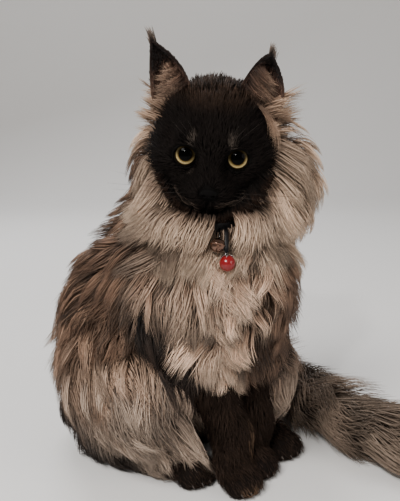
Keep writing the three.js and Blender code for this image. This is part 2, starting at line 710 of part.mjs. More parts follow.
// The lie of the hair at a point: that of the flesh near it, along the surface.
const LIE_REACH = 14;
function lieAt(p, normal, share) {
  const way = v3(0, 0, 0);
  let least = Infinity;
  const near = [];
  for (const group of everything) {
    for (const f of group.flesh) {
      const d = f.distance(p, share * f.coat);
      near.push([d, f.lie]);
      least = Math.min(least, d);
    }
  }
  for (const [d, lie] of near) way.addScaledVector(lie, Math.exp((least - d) / LIE_REACH));
  return way.addScaledVector(normal, -way.dot(normal)).normalize();
}

// The middle line of a lock, from a root on the core out to the tips of the coat, with the way out of the
// body at each point. Hair that reaches the floor spreads along it.
const LOCK_RINGS = 3;
const SINK = 5; // root's depth in the core
const NEAR_FLOOR = 4;
function lockLine(root, share, length, turn, rise) {
  const line = [];
  const p = root.clone();
  const step = length / (LOCK_RINGS + 0.5);
  for (let i = 0; i <= LOCK_RINGS; i++) {
    const level = lerp(share, rise, Math.sin(((i / LOCK_RINGS) * Math.PI) / 2) ** 1.1);
    ontoCoat(p, level);
    p.z = Math.max(p.z, NEAR_FLOOR);
    const normal = outward(p, level);
    const at = i ? p.clone() : p.clone().addScaledVector(normal, -SINK);
    line.push({ at, normal });
    const way = lieAt(p, normal, level).applyAxisAngle(normal, turn * (1 - i / LOCK_RINGS));
    p.addScaledVector(way, step);
  }
  return line;
}

// A flat lock with a ridge: narrow at its root, widest at a third, drawn out to a point. A grown one is the
// room it takes up, wider at its sides, underneath and over its ridge.
const LOCK_SHAPE = [0.7, 1, 0.68];
const LOCK_ROOM = { side: 4, under: 1.4, over: 1.8 };
function lockSolid(line, width, thick, grow) {
  const half = width / 2;
  const rings = LOCK_SHAPE.map((wide, i) => {
    const { normal } = line[i];
    const along = line[i + 1].at.clone().sub(line[Math.max(0, i - 1)].at).normalize();
    const at = line[i].at.clone().addScaledVector(along, i ? 0 : -3 * grow);
    const across = along.clone().cross(normal).normalize();
    const up = across.clone().cross(along).normalize();
    const corner = (x, y) => at.clone().addScaledVector(across, x).addScaledVector(up, y);
    const w = half * wide;
    const t = thick * (0.5 + 0.5 * wide);
    const { side: more, under, over } = grow ? LOCK_ROOM : { side: 0, under: 0, over: 0 };
    const [low, high] = [-0.4 * t - under, 0.6 * t + over];
    return [corner(w + more, low), corner(-w - more, low), corner(0, high)];
  });
  const { at: tip } = line[LOCK_RINGS];
  const end = tip.clone().addScaledVector(tip.clone().sub(line[LOCK_RINGS - 1].at).normalize(), grow * 3);
  const start = rings[0].reduce((sum, p) => sum.add(p), v3(0, 0, 0)).divideScalar(3);
  return skinned(start, rings, end);
}

// Points spread over a solid, no two closer than the spacing, kept where the test holds.
function spread(solid, spacing, random, test, first) {
  const { vertProperties, triVerts } = solid.getMesh();
  const corner = (k) => v3(...vertProperties.subarray(3 * k, 3 * k + 3));
  const faces = [];
  let area = 0;
  for (let i = 0; i < triVerts.length; i += 3) {
    const [a, b, c] = [0, 1, 2].map((k) => corner(triVerts[i + k]));
    area += b.clone().sub(a).cross(c.clone().sub(a)).length() / 2;
    faces.push({ a, b, c, upTo: area });
  }
  const kept = [...first];
  const tries = Math.ceil((14 * area) / spacing ** 2);
  for (let i = 0; i < tries; i++) {
    const pick = random() * area;
    const { a, b, c } = faces.find((f) => f.upTo >= pick);
    const [u, v] = [random(), random()];
    const [s, t] = u + v > 1 ? [1 - u, 1 - v] : [u, v];
    const p = a.clone().addScaledVector(b.clone().sub(a), s).addScaledVector(c.clone().sub(a), t);
    if (kept.every((q) => q.distanceTo(p) > spacing) && test(p)) kept.push(p);
  }
  return kept;
}

const FLOOR_MARGIN = 6; // no roots lower than this
const TWISTED = 1e-4; // a lock that leaves its own grown copy by more than this is left out
const LEAST_LEFT = 0.72; // a lock that its neighbours cut below this share of itself is left out
const LOCK_THICK = 6;
const VARIED = { length: [0.8, 1.2], width: [0.85, 1.15], turn: [-0.35, 0.35], rise: [0.92, 1.06] };
function growLocks(core, { share, spacing, length, width, seed, roots }) {
  const random = seeded(seed);
  const vary = ([least, most]) => lerp(least, most, random());
  const onSkin = (p) => Math.abs(coatField(p, share)) < 1.5 && p.z > FLOOR_MARGIN;
  const locks = [];
  const grown = [];
  for (const root of spread(core, spacing, random, onSkin, roots)) {
    const long = length * vary(VARIED.length);
    const wide = width * vary(VARIED.width);
    const turn = vary(VARIED.turn);
    const line = lockLine(root, share - 0.05, long, turn, vary(VARIED.rise));
    const whole = lockSolid(line, wide, LOCK_THICK, 0);
    let left = whole.subtract(underFloor);
    for (const solid of clearances) left = left.subtract(solid);
    const piece = largest(left);
    if (!piece || piece.volume() < LEAST_LEFT * whole.volume()) continue;
    const room = lockSolid(line, wide, LOCK_THICK, GAP);
    if (piece.subtract(room).volume() > TWISTED) continue;
    locks.push(piece);
    grown.push(room);
  }
  return { locks, grown };
}

// The long hair of the ears: pale locks across the hollow, from the inner edge outwards and, low down, past
// the outer edge, and a tuft at the tip.
const EAR_HAIR = [
  { t: 0.02, reach: 1.3, climb: 5 },
  { t: 0.12, reach: 1.2, climb: 10 },
  { t: 0.24, reach: 0.95, climb: 13 },
  { t: 0.38, reach: 0.85, climb: 13 },
  { t: 0.52, reach: 0.8, climb: 11 },
];
const TUFT_LEAN = { right: [-5, 0, 13], left: [1.5, 0, 10] };
function earHair(name) {
  const locks = EAR_HAIR.map(({ t, reach: far, climb }) => {
    const root = earPoint(name, t, 0.03, 0, 0).addScaledVector(HEAD_UP, -2);
    root.addScaledVector(HEAD_FORWARD, -12 * Math.sin(0.03 * Math.PI) * (1 - t));
    const over = (u, up) =>
      earPoint(name, t, 0, 0, 0)
        .lerp(earPoint(name, t, 1, 0, 0), u)
        .addScaledVector(HEAD_UP, up)
        .addScaledVector(HEAD_FORWARD, 1.5);
    const line = [root, over(0.25, climb * 0.3), over(0.55, climb * 0.6), over(far, climb)]
      .map((p) => ({ at: p, normal: HEAD_FORWARD }));
    return lockSolid(line, 9 * (1 - 0.5 * t), 2.6, 0);
  });
  const tip = inHead(...EAR_TIP[name]);
  const lean = inHead(...TUFT_LEAN[name]).sub(inHead(0, 0, 0));
  const tuft = [-0.75, -0.2, 0.45, 1]
    .map((k) => ({ at: tip.clone().addScaledVector(lean, k), normal: HEAD_FORWARD }));
  return [...locks, lockSolid(tuft, 5.5, 2.8, 0)];
}

// Roots of the ruff: a ring on the neck, just behind the face.
const RUFF_LOCKS = 14;
const RUFF_TURN = rad(152); // from under the chin to each side of the nape
function ruffRoots() {
  const field = fieldOf([neck], CORE_SHARE);
  return Array.from({ length: RUFF_LOCKS }, (_, i) => {
    const turn = lerp(-RUFF_TURN, RUFF_TURN, i / (RUFF_LOCKS - 1));
    const from = inHead(0, -4 - 24 * Math.cos(turn), -30);
    const way = mix(HEAD_LEFT, Math.sin(turn), HEAD_UP, -Math.cos(turn) * 0.8);
    way.addScaledVector(HEAD_FORWARD, 0.55 * Math.cos(turn)).normalize();
    return from.clone().addScaledVector(way, reach(field, from, way));
  });
}
const coat = (spacing, length, width, seed, roots = []) =>
  ({ share: CORE_SHARE, spacing, length, width, seed, roots });

// The nodes, in order: each is cut clear of all those before it.

const FACE_PLANE = { point: inHead(0, 6, 0), away: mix(HEAD_FORWARD, 0.74, HEAD_UP, 0.67) };
const CHEST_PLANE = { point: inBody(-72, 0, 150), away: mix(BACK, 1, UP, 0.1) };
const behind = ({ point, away }, grow) => halfSpace(point.clone().addScaledVector(away, grow), away);
const nodes = [];
const clearances = [];

function addNode(name, material, make, coat = null) {
  const share = coat ? coat.share : 1;
  let solid = make(share, 0);
  for (const grown of clearances) solid = solid.subtract(grown);
  solid = largest(solid.subtract(underFloor));
  let room = make(share, GAP);
  if (coat) {
    const { locks, grown } = growLocks(solid, coat);
    for (const lock of locks) solid = solid.add(lock);
    for (const lock of grown) room = room.add(lock);
    solid = largest(solid);
  }
  clearances.push(room);
  nodes.push({ name, material, solid });
}

for (const [name, s] of [["right", -1], ["left", 1]]) {
  addNode(`eye_${name}`, MATERIALS.eye, (share, grow) => sphere(eyeCentre(s), EYE_RADIUS + grow, 14, 9));
}
addNode("collar", MATERIALS.strap, (share, grow) => collar(grow));
addNode("bead", MATERIALS.bead, (share, grow) => bead(grow));
addNode("bell", MATERIALS.bell, (share, grow) => bell(grow));
addNode("bead_cap", MATERIALS.cap, (share, grow) => beadCap(grow));
addNode("bell_loop", MATERIALS.cap, (share, grow) => bellLoop(grow));
addNode("charm_strap", MATERIALS.strap, (share, grow) => charmStrap(grow));
addNode("nose", MATERIALS.nose, (share, grow) => noseSolid(grow));
addNode("head", MATERIALS.dark, headSolid);
for (const name of ["right", "left"]) {
  addNode(`ear_${name}`, MATERIALS.dark, (share, grow) =>
    grow ? ear(name, grow) : earHair(name).reduce((solid, lock) => solid.add(lock), ear(name, 0)));
}
addNode("neck", MATERIALS.pale, (share, grow) =>
  cores.neck(share, grow).intersect(behind(FACE_PLANE, grow)), coat(32, 62, 28, 11, ruffRoots()));
addNode("chest", MATERIALS.pale, (share, grow) =>
  cores.torso(share, grow).intersect(behind(CHEST_PLANE, grow)), coat(34, 62, 29, 12));
addNode("back", MATERIALS.smoke, cores.torso, coat(40, 74, 34, 13));
const HIND_LEGS = [
  ["right", hindRight, coat(37, 62, 29, 64)],
  ["left", hindLeft, null],
];
for (const [sideName, leg, thighCoat] of HIND_LEGS) {
  addNode(`thigh_${sideName}`, MATERIALS.pale, (share, grow) =>
    wrapped(fieldOf([leg.thigh], share, grow), legNets.get(leg.thigh)), thighCoat);
  addNode(`hind_foot_${sideName}`, MATERIALS.dark, (share, grow) =>
    wrapped(fieldOf([leg.foot], share, grow), legNets.get(leg.foot)));
}
for (const [sideName, leg] of [["right", frontRight], ["left", frontLeft]]) {
  addNode(`forepaw_${sideName}`, MATERIALS.dark, (share, grow) =>
    wrapped(fieldOf([leg.foot], share, grow), legNets.get(leg.foot)));
  addNode(`foreleg_${sideName}`, MATERIALS.dark, (share, grow) =>
    wrapped(fieldOf([leg.leg], share, grow), legNets.get(leg.leg)));
}
const TAIL_PARTS = 3;
for (let i = 0; i < TAIL_PARTS; i++) {
  const net = tailNet(i / TAIL_PARTS, (i + 1) / TAIL_PARTS);
  addNode(`tail_${i + 1}`, MATERIALS.smoke, (share, grow) =>
    wrapped(fieldOf([tail], share, grow), net), coat(43, 62, 31, 15 + i));
}

function geometryOf(solid) {
  const { vertProperties, triVerts } = solid.getMesh();
  const g = new THREE.BufferGeometry();
  g.setAttribute("position", new THREE.BufferAttribute(new Float32Array(vertProperties), 3));
  g.setIndex(new THREE.BufferAttribute(new Uint32Array(triVerts), 1));
  return g;
}

// The origin is put below the middle of the whole, at the floor.
const extent = new THREE.Box3();
for (const { solid } of nodes) {
  const { min, max } = solid.boundingBox();
  extent.expandByPoint(v3(...min)).expandByPoint(v3(...max));
}
const origin = extent.getCenter(v3(0, 0, 0)).setZ(extent.min.z);

// Edges that more than two faces share, where a surface touches itself: a small bite is taken out at each.
const BITE = 0.8;
function bitten(solid, bite) {
  const merged = mergeVertices(geometryOf(solid).toNonIndexed(), FINEST);
  const { array } = merged.index;
  const count = new Map();
  for (let i = 0; i < array.length; i += 3) {
    const face = array.subarray(i, i + 3);
    if (new Set(face).size < 3) continue;
    face.forEach((a, k) => {
      const b = face[(k + 1) % 3];
      const key = `${Math.min(a, b)} ${Math.max(a, b)}`;
      count.set(key, (count.get(key) ?? 0) + 1);
    });
  }
  const at = (k) => v3(0, 0, 0).fromBufferAttribute(merged.attributes.position, k);
  for (const [key, uses] of count) {
    if (uses < 3) continue;
    const [a, b] = key.split(" ").map((k) => at(Number(k)));
    const size = b.clone().sub(a);
    const box = new THREE.BoxGeometry(...size.toArray().map((x) => Math.abs(x) + bite));
    const middle = a.add(b).multiplyScalar(0.5);
    solid = solid.subtract(solidOf(box.translate(middle.x, middle.y, middle.z)));
  }
  return largest(solid);
}

const cat = new THREE.Group();
for (const { name, material, solid } of nodes) {
  // Points within a micron become one, which may pinch off a crumb: only the piece itself stays.
  let clean = largest(solidOf(geometryOf(solid).translate(-origin.x, -origin.y, -origin.z), FINEST));
  // Where bites touch each other in turn, the next ones are larger.
  for (let settled = false, round = 1; !settled; round++) {
    const again = largest(solidOf(geometryOf(bitten(clean, BITE * round)), FINEST));
    settled = again.numTri() === clean.numTri();
    clean = again;
  }
  const mesh = new THREE.Mesh(geometryOf(clean), material);
  mesh.name = name;
  cat.add(mesh);
}

export default cat;
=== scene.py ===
"""A long-haired maine coon cat, life size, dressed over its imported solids.

Shapes are made in millimetres in the frame of the photograph's camera (X right, Y away, Z up) and moved
into the model's frame as they are turned into meshes. The flesh is the same set of balls and limbs that the
solids come from: share 0 of the coat is the skin, share 1 the outline of the coat.
"""

import math

import bmesh
import bpy
import numpy as np
from mathutils import Matrix, Vector, kdtree


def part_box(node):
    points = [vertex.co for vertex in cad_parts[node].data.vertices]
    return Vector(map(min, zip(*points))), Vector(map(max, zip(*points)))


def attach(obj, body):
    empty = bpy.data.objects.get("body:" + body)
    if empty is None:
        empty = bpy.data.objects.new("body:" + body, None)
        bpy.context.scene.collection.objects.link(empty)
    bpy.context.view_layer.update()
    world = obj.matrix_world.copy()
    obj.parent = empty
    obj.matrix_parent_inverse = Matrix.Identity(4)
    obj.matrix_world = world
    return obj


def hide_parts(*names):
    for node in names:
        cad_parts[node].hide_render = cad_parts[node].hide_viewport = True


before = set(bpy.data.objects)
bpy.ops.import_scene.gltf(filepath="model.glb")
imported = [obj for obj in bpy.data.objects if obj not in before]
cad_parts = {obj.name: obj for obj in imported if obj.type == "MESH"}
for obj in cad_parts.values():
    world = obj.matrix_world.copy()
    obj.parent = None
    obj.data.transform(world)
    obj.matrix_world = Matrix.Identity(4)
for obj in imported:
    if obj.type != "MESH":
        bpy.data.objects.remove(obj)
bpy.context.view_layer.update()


def v(*a):
    """A vector."""
    return np.array(a, float)


def unit(a):
    return a / np.maximum(np.linalg.norm(a, axis=-1, keepdims=True), 1e-9)


def mix(a, ka, b, kb):
    """Two ways added, each with its own weight."""
    return a * ka + b * kb


def smooth(x, a, b):
    """A smooth step from 0 where x is a to 1 where it is b."""
    t = np.clip((x - a) / (b - a), 0, 1)
    return t * t * (3 - 2 * t)


# Frames
CAMERA_PLACE = v(0, -620, 331)
CAMERA_PITCH, CAMERA_ROLL = math.radians(11.7), math.radians(1.2)
FOCAL_PIXELS, PHOTO_HEIGHT = 720, 501
SENSOR = 36

BODY_TURN = math.radians(38)
FORWARD = v(math.sin(BODY_TURN), -math.cos(BODY_TURN), 0)
LEFT = v(math.cos(BODY_TURN), math.sin(BODY_TURN), 0)
UP = v(0, 0, 1)
DOWN = -UP
BACK = -FORWARD
PAWS_MIDDLE = v(44, -48, 0)


def in_body(f, l, u):
    """A point by its way forward, left and up from the middle between the front paws, as the body heads."""
    return PAWS_MIDDLE + FORWARD * f + LEFT * l + UP * u


HEAD_CENTRE = v(13, -7, 299)
HEAD_TURN = np.array(
    Matrix.Rotation(math.radians(-2), 3, "Z")
    @ Matrix.Rotation(math.radians(5.4), 3, "Y")
    @ Matrix.Rotation(math.radians(22), 3, "X")
)
HEAD_LEFT = HEAD_TURN @ v(1, 0, 0)
HEAD_FORWARD = HEAD_TURN @ v(0, -1, 0)
HEAD_UP = HEAD_TURN @ v(0, 0, 1)
BACKWARD = -HEAD_FORWARD
HEAD_AXES = np.stack([HEAD_LEFT, HEAD_FORWARD, HEAD_UP])
BODY_AXES = np.stack([LEFT, FORWARD, UP])


def in_head(l, f, u):
    """A point by its way left, forward and up from the head's centre."""
    return HEAD_CENTRE + HEAD_LEFT * l + HEAD_FORWARD * f + HEAD_UP * u


EYE_RADIUS = 11.2
EYE_SPREAD = 20.8
EYE_HEIGHT = -1.3
NOSE_HEIGHT = -18.5


def eye_centre(s):
    return in_head(s * EYE_SPREAD, 28.5, EYE_HEIGHT)


low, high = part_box("eye_right")
SHIFT = eye_centre(-1) - (np.array(low) + np.array(high)) * 500


def to_scene(p):
    return (np.asarray(p) - SHIFT) / 1000


def from_box(name):
    """The middle of a CAD node, in the photograph's frame."""
    low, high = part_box(name)
    return (np.array(low) + np.array(high)) * 500 + SHIFT


def head_coords(p):
    return (p - HEAD_CENTRE) @ HEAD_AXES.T


def body_coords(p):
    d = p - PAWS_MIDDLE
    return np.stack([d @ FORWARD, d @ LEFT, d @ UP], -1)


# Flesh
class Ball:
    """An ellipsoid of flesh, with the depth and the lie of the coat on it."""

    def __init__(self, axes, centre, radii, coat, lie):
        self.axes, self.centre, self.radii = axes, centre, v(*radii)
        self.coat, self.lie = coat, unit(lie)

    def distance(self, p, extra):
        d = (p - self.centre) @ self.axes.T
        r = self.radii + np.reshape(extra, (-1, 1))
        inner = np.sqrt(np.sum((d / r) ** 2, -1))
        outer = np.sqrt(np.sum((d / (r * r)) ** 2, -1)) + 1e-9
        return inner * (inner - 1) / outer

    def reach(self):
        return self.centre - self.radii.max(), self.centre + self.radii.max()


class Limb:
    """A round limb that tapers from a to b, with the depth and the lie of the coat on it."""

    def __init__(self, a, b, r0, r1, coat, lie=None):
        self.a, self.way, self.r0, self.r1 = a, b - a, r0, r1
        self.coat, self.lie = coat, unit(b - a if lie is None else lie)

    def distance(self, p, extra):
        t = np.clip((p - self.a) @ self.way / (self.way @ self.way), 0, 1)
        away = np.linalg.norm(p - self.a - t[:, None] * self.way, axis=-1)
        return away - (self.r0 + (self.r1 - self.r0) * t) - extra

    def reach(self):
        r = max(self.r0, self.r1)
        return np.minimum(self.a, self.a + self.way) - r, np.maximum(self.a, self.a + self.way) + r


class Group:
    """Flesh that is blended smoothly into one part of the body."""

    def __init__(self, name, blend, flesh, short):
        self.name, self.blend, self.flesh, self.short = name, blend, flesh, short

    def field(self, p, share, grow=0.0):
        all_d = np.stack([f.distance(p, share * f.coat + grow) for f in self.flesh])
        least = all_d.min(0)
        return least - self.blend * np.log(np.exp((least - all_d) / self.blend).sum(0))


COAT = dict(back=25, flank=27, chest=25, ruff=30, cheek=9, face=4, leg=5, paw=4, thigh=22, tail=27)
FACE_COAT = COAT["face"]
RUMP, LOIN, RIBS = v(-86, 76, 64), v(-58, 50, 138), in_body(-64, 2, 188)


def front_leg(s):
    """The upper arm, the leg and the paw of one side."""
    shoulder, elbow = in_body(-58, s * 34, 172), in_body(-46, -27 if s < 0 else 30, 114)
    wrist = v(25, -30, 44) if s < 0 else v(46, -6, 44)
    paw = v(28.5, -49, 13) if s < 0 else v(45, -20, 13)
    ankle = paw + BACK * 8
    ankle[2] = 22
    arm = Limb(shoulder, elbow, 30, 21, 20, mix(DOWN, 1, BACK, 0.2))
    leg = [
        Ball(BODY_AXES, elbow, (17, 19, 20), 12, DOWN),
        Limb(elbow, wrist, 17, 12, 7, mix(DOWN, 1, BACK, 0.35)),
        Limb(wrist, ankle, 12, 13, COAT["leg"], DOWN),
    ]
    way = mix(FORWARD, 1, DOWN, 0.5)
    foot = [Ball(BODY_AXES, paw, (14, 17, 12), COAT["paw"], way)]
    for i in (-1.5, -0.5, 0.5, 1.5):
        toe = paw + FORWARD * (12.5 - 2.4 * abs(i)) + LEFT * i * 7.6
        toe[2] = 8.5
        foot.append(Ball(BODY_AXES, toe, (4.4, 8, 7.5), 2.5, way))
    return arm, leg, foot


def hind_leg(back, left, knee, heel_left, paw_back, paw_left):
    """A folded hind leg: its thigh and its foot."""
    centre, knee_at = in_body(back, left, 74), in_body(back + 52, knee, 80)
    heel, paw = in_body(back - 18, heel_left, 19), in_body(paw_back, paw_left, 13)
    thigh = [
        Ball(BODY_AXES, centre, (31, 60, 58), COAT["thigh"], mix(DOWN, 1, FORWARD, 0.5)),
        Limb(in_body(back + 6, left, 84), knee_at, 36, 25, COAT["thigh"], mix(DOWN, 1, FORWARD, 0.7)),
    ]
    instep = in_body(paw_back - 12, heel_left + (paw_left - heel_left) * 0.85, 15)
    way = mix(FORWARD, 1, DOWN, 0.5)
    foot = [
        Limb(heel, instep, 14, 12.5, 7, mix(FORWARD, 1, DOWN, 0.3)),
        Ball(BODY_AXES, paw, (16, 20, 12), COAT["paw"], way),
    ]
    for t in (-1.5, -0.5, 0.5, 1.5):
        toe = in_body(paw_back + 15 - 2.4 * abs(t), paw_left + t * 8.4, 8.5)
        foot.append(Ball(BODY_AXES, toe, (4.6, 8, 7.5), 2.5, way))
    return thigh, foot


arm_r, leg_r, foot_r = front_leg(-1)
arm_l, leg_l, foot_l = front_leg(1)
thigh_r, hind_r = hind_leg(-126, -56, -60, -74, -50, -34)
thigh_l, hind_l = hind_leg(-112, 52, 62, 74, -36, 60)

TORSO = Group(
    "torso",
    9,
    [
        Limb(RUMP, LOIN, 46, 48, COAT["back"], mix(BACK, 0.45, DOWN, 0.9)),
        Limb(LOIN, RIBS, 50, 45, COAT["flank"], mix(BACK, 0.4, DOWN, 0.9)),
        Ball(BODY_AXES, in_body(-88, -4, 210), (38, 36, 36), COAT["back"], mix(BACK, 0.8, DOWN, 0.6)),
        Ball(BODY_AXES, in_body(-34, 2, 176), (38, 30, 46), COAT["chest"], mix(FORWARD, 0.12, DOWN, 1)),
        Ball(BODY_AXES, in_body(-92, 10, 88), (48, 52, 50), COAT["chest"], mix(BACK, 0.1, DOWN, 1)),
        arm_r,
        arm_l,
    ],
    False,
)
NAPE = in_head(0, -22, -24)
NECK = Group(
    "neck",
    9,
    [
        Limb(in_body(-60, 4, 216), NAPE, 40, 33, COAT["ruff"], mix(BACK, 0.1, DOWN, 1)),
        Ball(BODY_AXES, v(45, 6, 262), (36, 30, 36), 30, v(0.75, -0.15, -0.6)),
        Ball(BODY_AXES, v(-4, 8, 262), (34, 30, 36), 22, v(-0.65, -0.15, -0.7)),
        Ball(BODY_AXES, v(13, -20, 230), (28, 20, 26), 23, v(0.05, -0.3, -1)),
    ],
    False,
)


def side(s):
    return HEAD_LEFT * s


swept = mix(BACKWARD, 0.6, HEAD_UP, 0.8)
head_flesh = [
    Ball(HEAD_AXES, in_head(0, -8, 8), (40, 42, 36), 7, mix(BACKWARD, 1, HEAD_UP, 0.15)),
    Limb(in_head(0, 31, 8), in_head(0, 54, NOSE_HEIGHT + 4), 8, 6, FACE_COAT, swept),
    Ball(HEAD_AXES, in_head(0, 42, -22.5), (18, 18, 12), FACE_COAT, mix(BACKWARD, 1, HEAD_UP, -0.2)),
    Ball(HEAD_AXES, in_head(0, 46, -36), (11, 10, 7), FACE_COAT, mix(BACKWARD, 0.7, HEAD_UP, -0.7)),
    Limb(in_head(0, 41, -32.5), in_head(0, 2, -26), 9, 18, FACE_COAT, mix(BACKWARD, 0.8, HEAD_UP, -0.6)),
]
for s in (-1, 1):
    head_flesh += [
        Ball(HEAD_AXES, in_head(s * 24, 12, -9), (20, 21, 20), COAT["cheek"], mix(BACKWARD, 1, side(s), 0.7)),
        Ball(HEAD_AXES, in_head(s * 14, 25, 14), (14, 11, 10), FACE_COAT, swept),
        Ball(HEAD_AXES, in_head(s * 19, 24, -25), (16, 18, 13), FACE_COAT, mix(BACKWARD, 1, side(s), 0.7)),
        Ball(HEAD_AXES, in_head(s * 9, 49, -25), (10, 9.5, 8.5), FACE_COAT, mix(BACKWARD, 1, side(s), 0.6)),
    ]
HEAD = Group("head", 3, head_flesh, True)


def bare_head(p):
    return HEAD.field(p, 0.0)


def centripetal(points, count):
    """Points along a smooth curve through the given ones."""
    pts = np.array(points, float)
    ext = np.vstack([2 * pts[0] - pts[1], pts, 2 * pts[-1] - pts[-2]])
    out = []
    n = len(pts) - 1
    for t in np.linspace(0, 1, count + 1):
        x = min(t * n, n - 1e-9)
        i = int(x)
        w = x - i
        p0, p1, p2, p3 = ext[i : i + 4]
        d0, d1, d2 = (max(np.linalg.norm(b - a), 1e-6) ** 0.5 for a, b in ((p0, p1), (p1, p2), (p2, p3)))
        t1 = ((p1 - p0) / d0 - (p2 - p0) / (d0 + d1) + (p2 - p1) / d1) * d1
        t2 = ((p2 - p1) / d1 - (p3 - p1) / (d1 + d2) + (p3 - p2) / d2) * d1
        a = 2 * p1 - 2 * p2 + t1 + t2
        b = -3 * p1 + 3 * p2 - 2 * t1 - t2
        out.append(p1 + t1 * w + b * w * w + a * w**3)
    return np.array(out)


TAIL_STEPS = 10
tail_line = centripetal(
    [
        (-52, 96, 52),
        (-34, 142, 38),
        (22, 166, 30),
        (74, 136, 30),
        (106, 86, 30),
        (126, 38, 30),
        (162, -8, 30),
        (200, -42, 28),
        (226, -60, 25),
    ],
    TAIL_STEPS,
)
tail_flesh = []
for i in range(TAIL_STEPS):
    t0 = i / TAIL_STEPS
    plume = COAT["tail"] * min(1.15, 0.72 + t0, 3.2 * (1.1 - t0))
    r = 14 - 7 * t0
    tail_flesh.append(Limb(tail_line[i], tail_line[i + 1], r, r - 0.7, plume))
TAIL = Group("tail", 5, tail_flesh, False)

GROUPS = [
    TORSO,
    NECK,
    HEAD,
    Group("leg_r", 4, leg_r, True),
    Group("leg_l", 4, leg_l, True),
    Group("paw_r", 3, foot_r, True),
    Group("paw_l", 3, foot_l, True),
    Group("thigh_r", 8, thigh_r, False),
    Group("thigh_l", 8, thigh_l, False),
    Group("hind_r", 3, hind_r, True),
    Group("hind_l", 3, hind_l, True),
    TAIL,
]
SHORT = [g for g in GROUPS if g.short]
G = {g.name: k for k, g in enumerate(GROUPS)}
HOVER = 3.0  # long hair passes over the short coat at this height


def long_field(p, share):
    """The level of the long coat at a share of its depth, carried over the short coat beside it."""
    values = [g.field(p, share, HOVER * share) if g.short else g.field(p, share) for g in GROUPS]
    return np.min(values, 0)


def short_field(p, share):
    return np.min([g.field(p, share) for g in SHORT], 0)


CORNERS = np.array([(1, -1, -1), (-1, -1, 1), (-1, 1, -1), (1, 1, 1)], float)


def level_and_normal(field, p, share, h=1.2):
    total = np.zeros(len(p))
    normal = np.zeros_like(p)
    for c in CORNERS:
        d = field(p + c * h, share)
        total += d
        normal += c * d[:, None]
    return total / 4, unit(normal)


# Details of the face
LID = 1.6
LID_WIDTH = 9.8
LID_HEIGHT = 9.2


def eye_axes(s):
    out = unit(mix(HEAD_FORWARD, 1, side(s), 0.1) + HEAD_UP * 0.2)
    across = mix(side(s), 1, HEAD_UP, 0.22)
    across = unit(across - out * (across @ out))
    up = np.cross(out, across)
    return across, up * np.sign(up @ HEAD_UP), out


def lid_opening(p, s):
    """Negative inside the opening of the lids."""
    across, up, out = eye_axes(s)
    d = p - eye_centre(s)
    x, y, z = d @ across, d @ up, d @ out
    size = np.interp(z, [4, 9, 16, 34], [0.9, 1, 1.35, 2])
    e = (x / (LID_WIDTH * size)) ** 2 + (np.abs(y) / (LID_HEIGHT * size)) ** 1.6 - 1
    return np.where(z > 3, e * LID_HEIGHT * size / 1.8, 20)


LIP_LINE = [(0, -23.5), (0, -28), (3.5, -32), (9, -32.5), (14, -29.5), (18.5, -25.5)]


def cast(field, start, way, far=90):
    """Where rays from points inside leave a field."""
    lo, hi = np.zeros(len(start)), np.full(len(start), float(far))
    for r in np.arange(2, far, 2.0):
        inside = field(start + way * r) < 0
        lo = np.where(inside & (lo >= r - 2.01), r, lo)
    hi = lo + 2
    for _ in range(10):
        mid = (lo + hi) / 2
        inside = field(start + way * mid[:, None]) < 0
        lo, hi = np.where(inside, mid, lo), np.where(inside, hi, mid)
    return start + way * lo[:, None]


# faint pale streaks follow the lips and go on over the cheeks
STREAK_LINE = [(4, -32.5), (9, -33), (14, -30.5), (18.5, -27.5), (23, -25)]


def on_muzzle(points, s, inside, bend):
    """A line over the bare muzzle through points that give the place across and the height."""
    start = np.array([in_head(0.5 * s * x, inside, 0.8 * z - 4) for x, z in points])
    aim = np.array([in_head(s * x, 58 - bend * x, z) for x, z in points])
    return centripetal(cast(bare_head, start, unit(aim - start)), 14)


lip_points = {s: on_muzzle(LIP_LINE, s, 30, 0.5) for s in (-1, 1)}
mouth_streaks = [on_muzzle(STREAK_LINE, s, 20, 0.7) for s in (-1, 1)]


def near_line(p, line):
    best = np.full(len(p), 1e9)
    for a, b in zip(line[:-1], line[1:]):
        w = b - a
        t = np.clip((p - a) @ w / (w @ w), 0, 1)
        best = np.minimum(best, np.linalg.norm(p - a - t[:, None] * w, axis=-1))
    return best


def carve(d, cutter, k):
    """d with a cutter's inside taken out, the edge rounded by k."""
    h = np.clip(0.5 - 0.5 * (d + cutter) / k, 0, 1)
    return d * (1 - h) - cutter * h + k * h * (1 - h)


def join(a, b, k):
    h = np.clip(0.5 + 0.5 * (b - a) / k, 0, 1)
    return b * (1 - h) + a * h - k * h * (1 - h)


def skin_field(p):
    """The bare skin of the whole cat, with lids, lips and the folds between the toes."""
    total = np.full(len(p), 1e3)
    for g in GROUPS:
        low = np.min([f.reach()[0] for f in g.flesh], 0) - 25
        high = np.max([f.reach()[1] for f in g.flesh], 0) + 25
        near = np.all((p > low) & (p < high), -1)
        if near.any():
            d = np.full(len(p), 1e3)
            d[near] = g.field(p[near], 0.0)
            total = join(total, d, 2.0 if g.name.startswith(("paw", "hind")) else 5.0)
    face = np.where(np.linalg.norm(p - in_head(0, 30, -8), axis=-1) < 60)[0]
    if len(face):
        q = p[face]
        d = total[face]
        for s in (-1, 1):
            lid = np.linalg.norm(q - eye_centre(s), axis=-1) - EYE_RADIUS - LID
            d = join(d, lid, 2.5)
        for s in (-1, 1):
            d = carve(d, lid_opening(q, s), 0.9)
            d = carve(d, near_line(q, lip_points[s]) - 0.9, 1.2)
            pad = head_coords(q)
            # the pit in front of each eye's inner corner
            tear = np.linalg.norm(pad - v(s * 11.5, 37.5, -7), axis=-1) - 2.2
            d = carve(d, tear, 3.0)
        total[face] = d
    return total


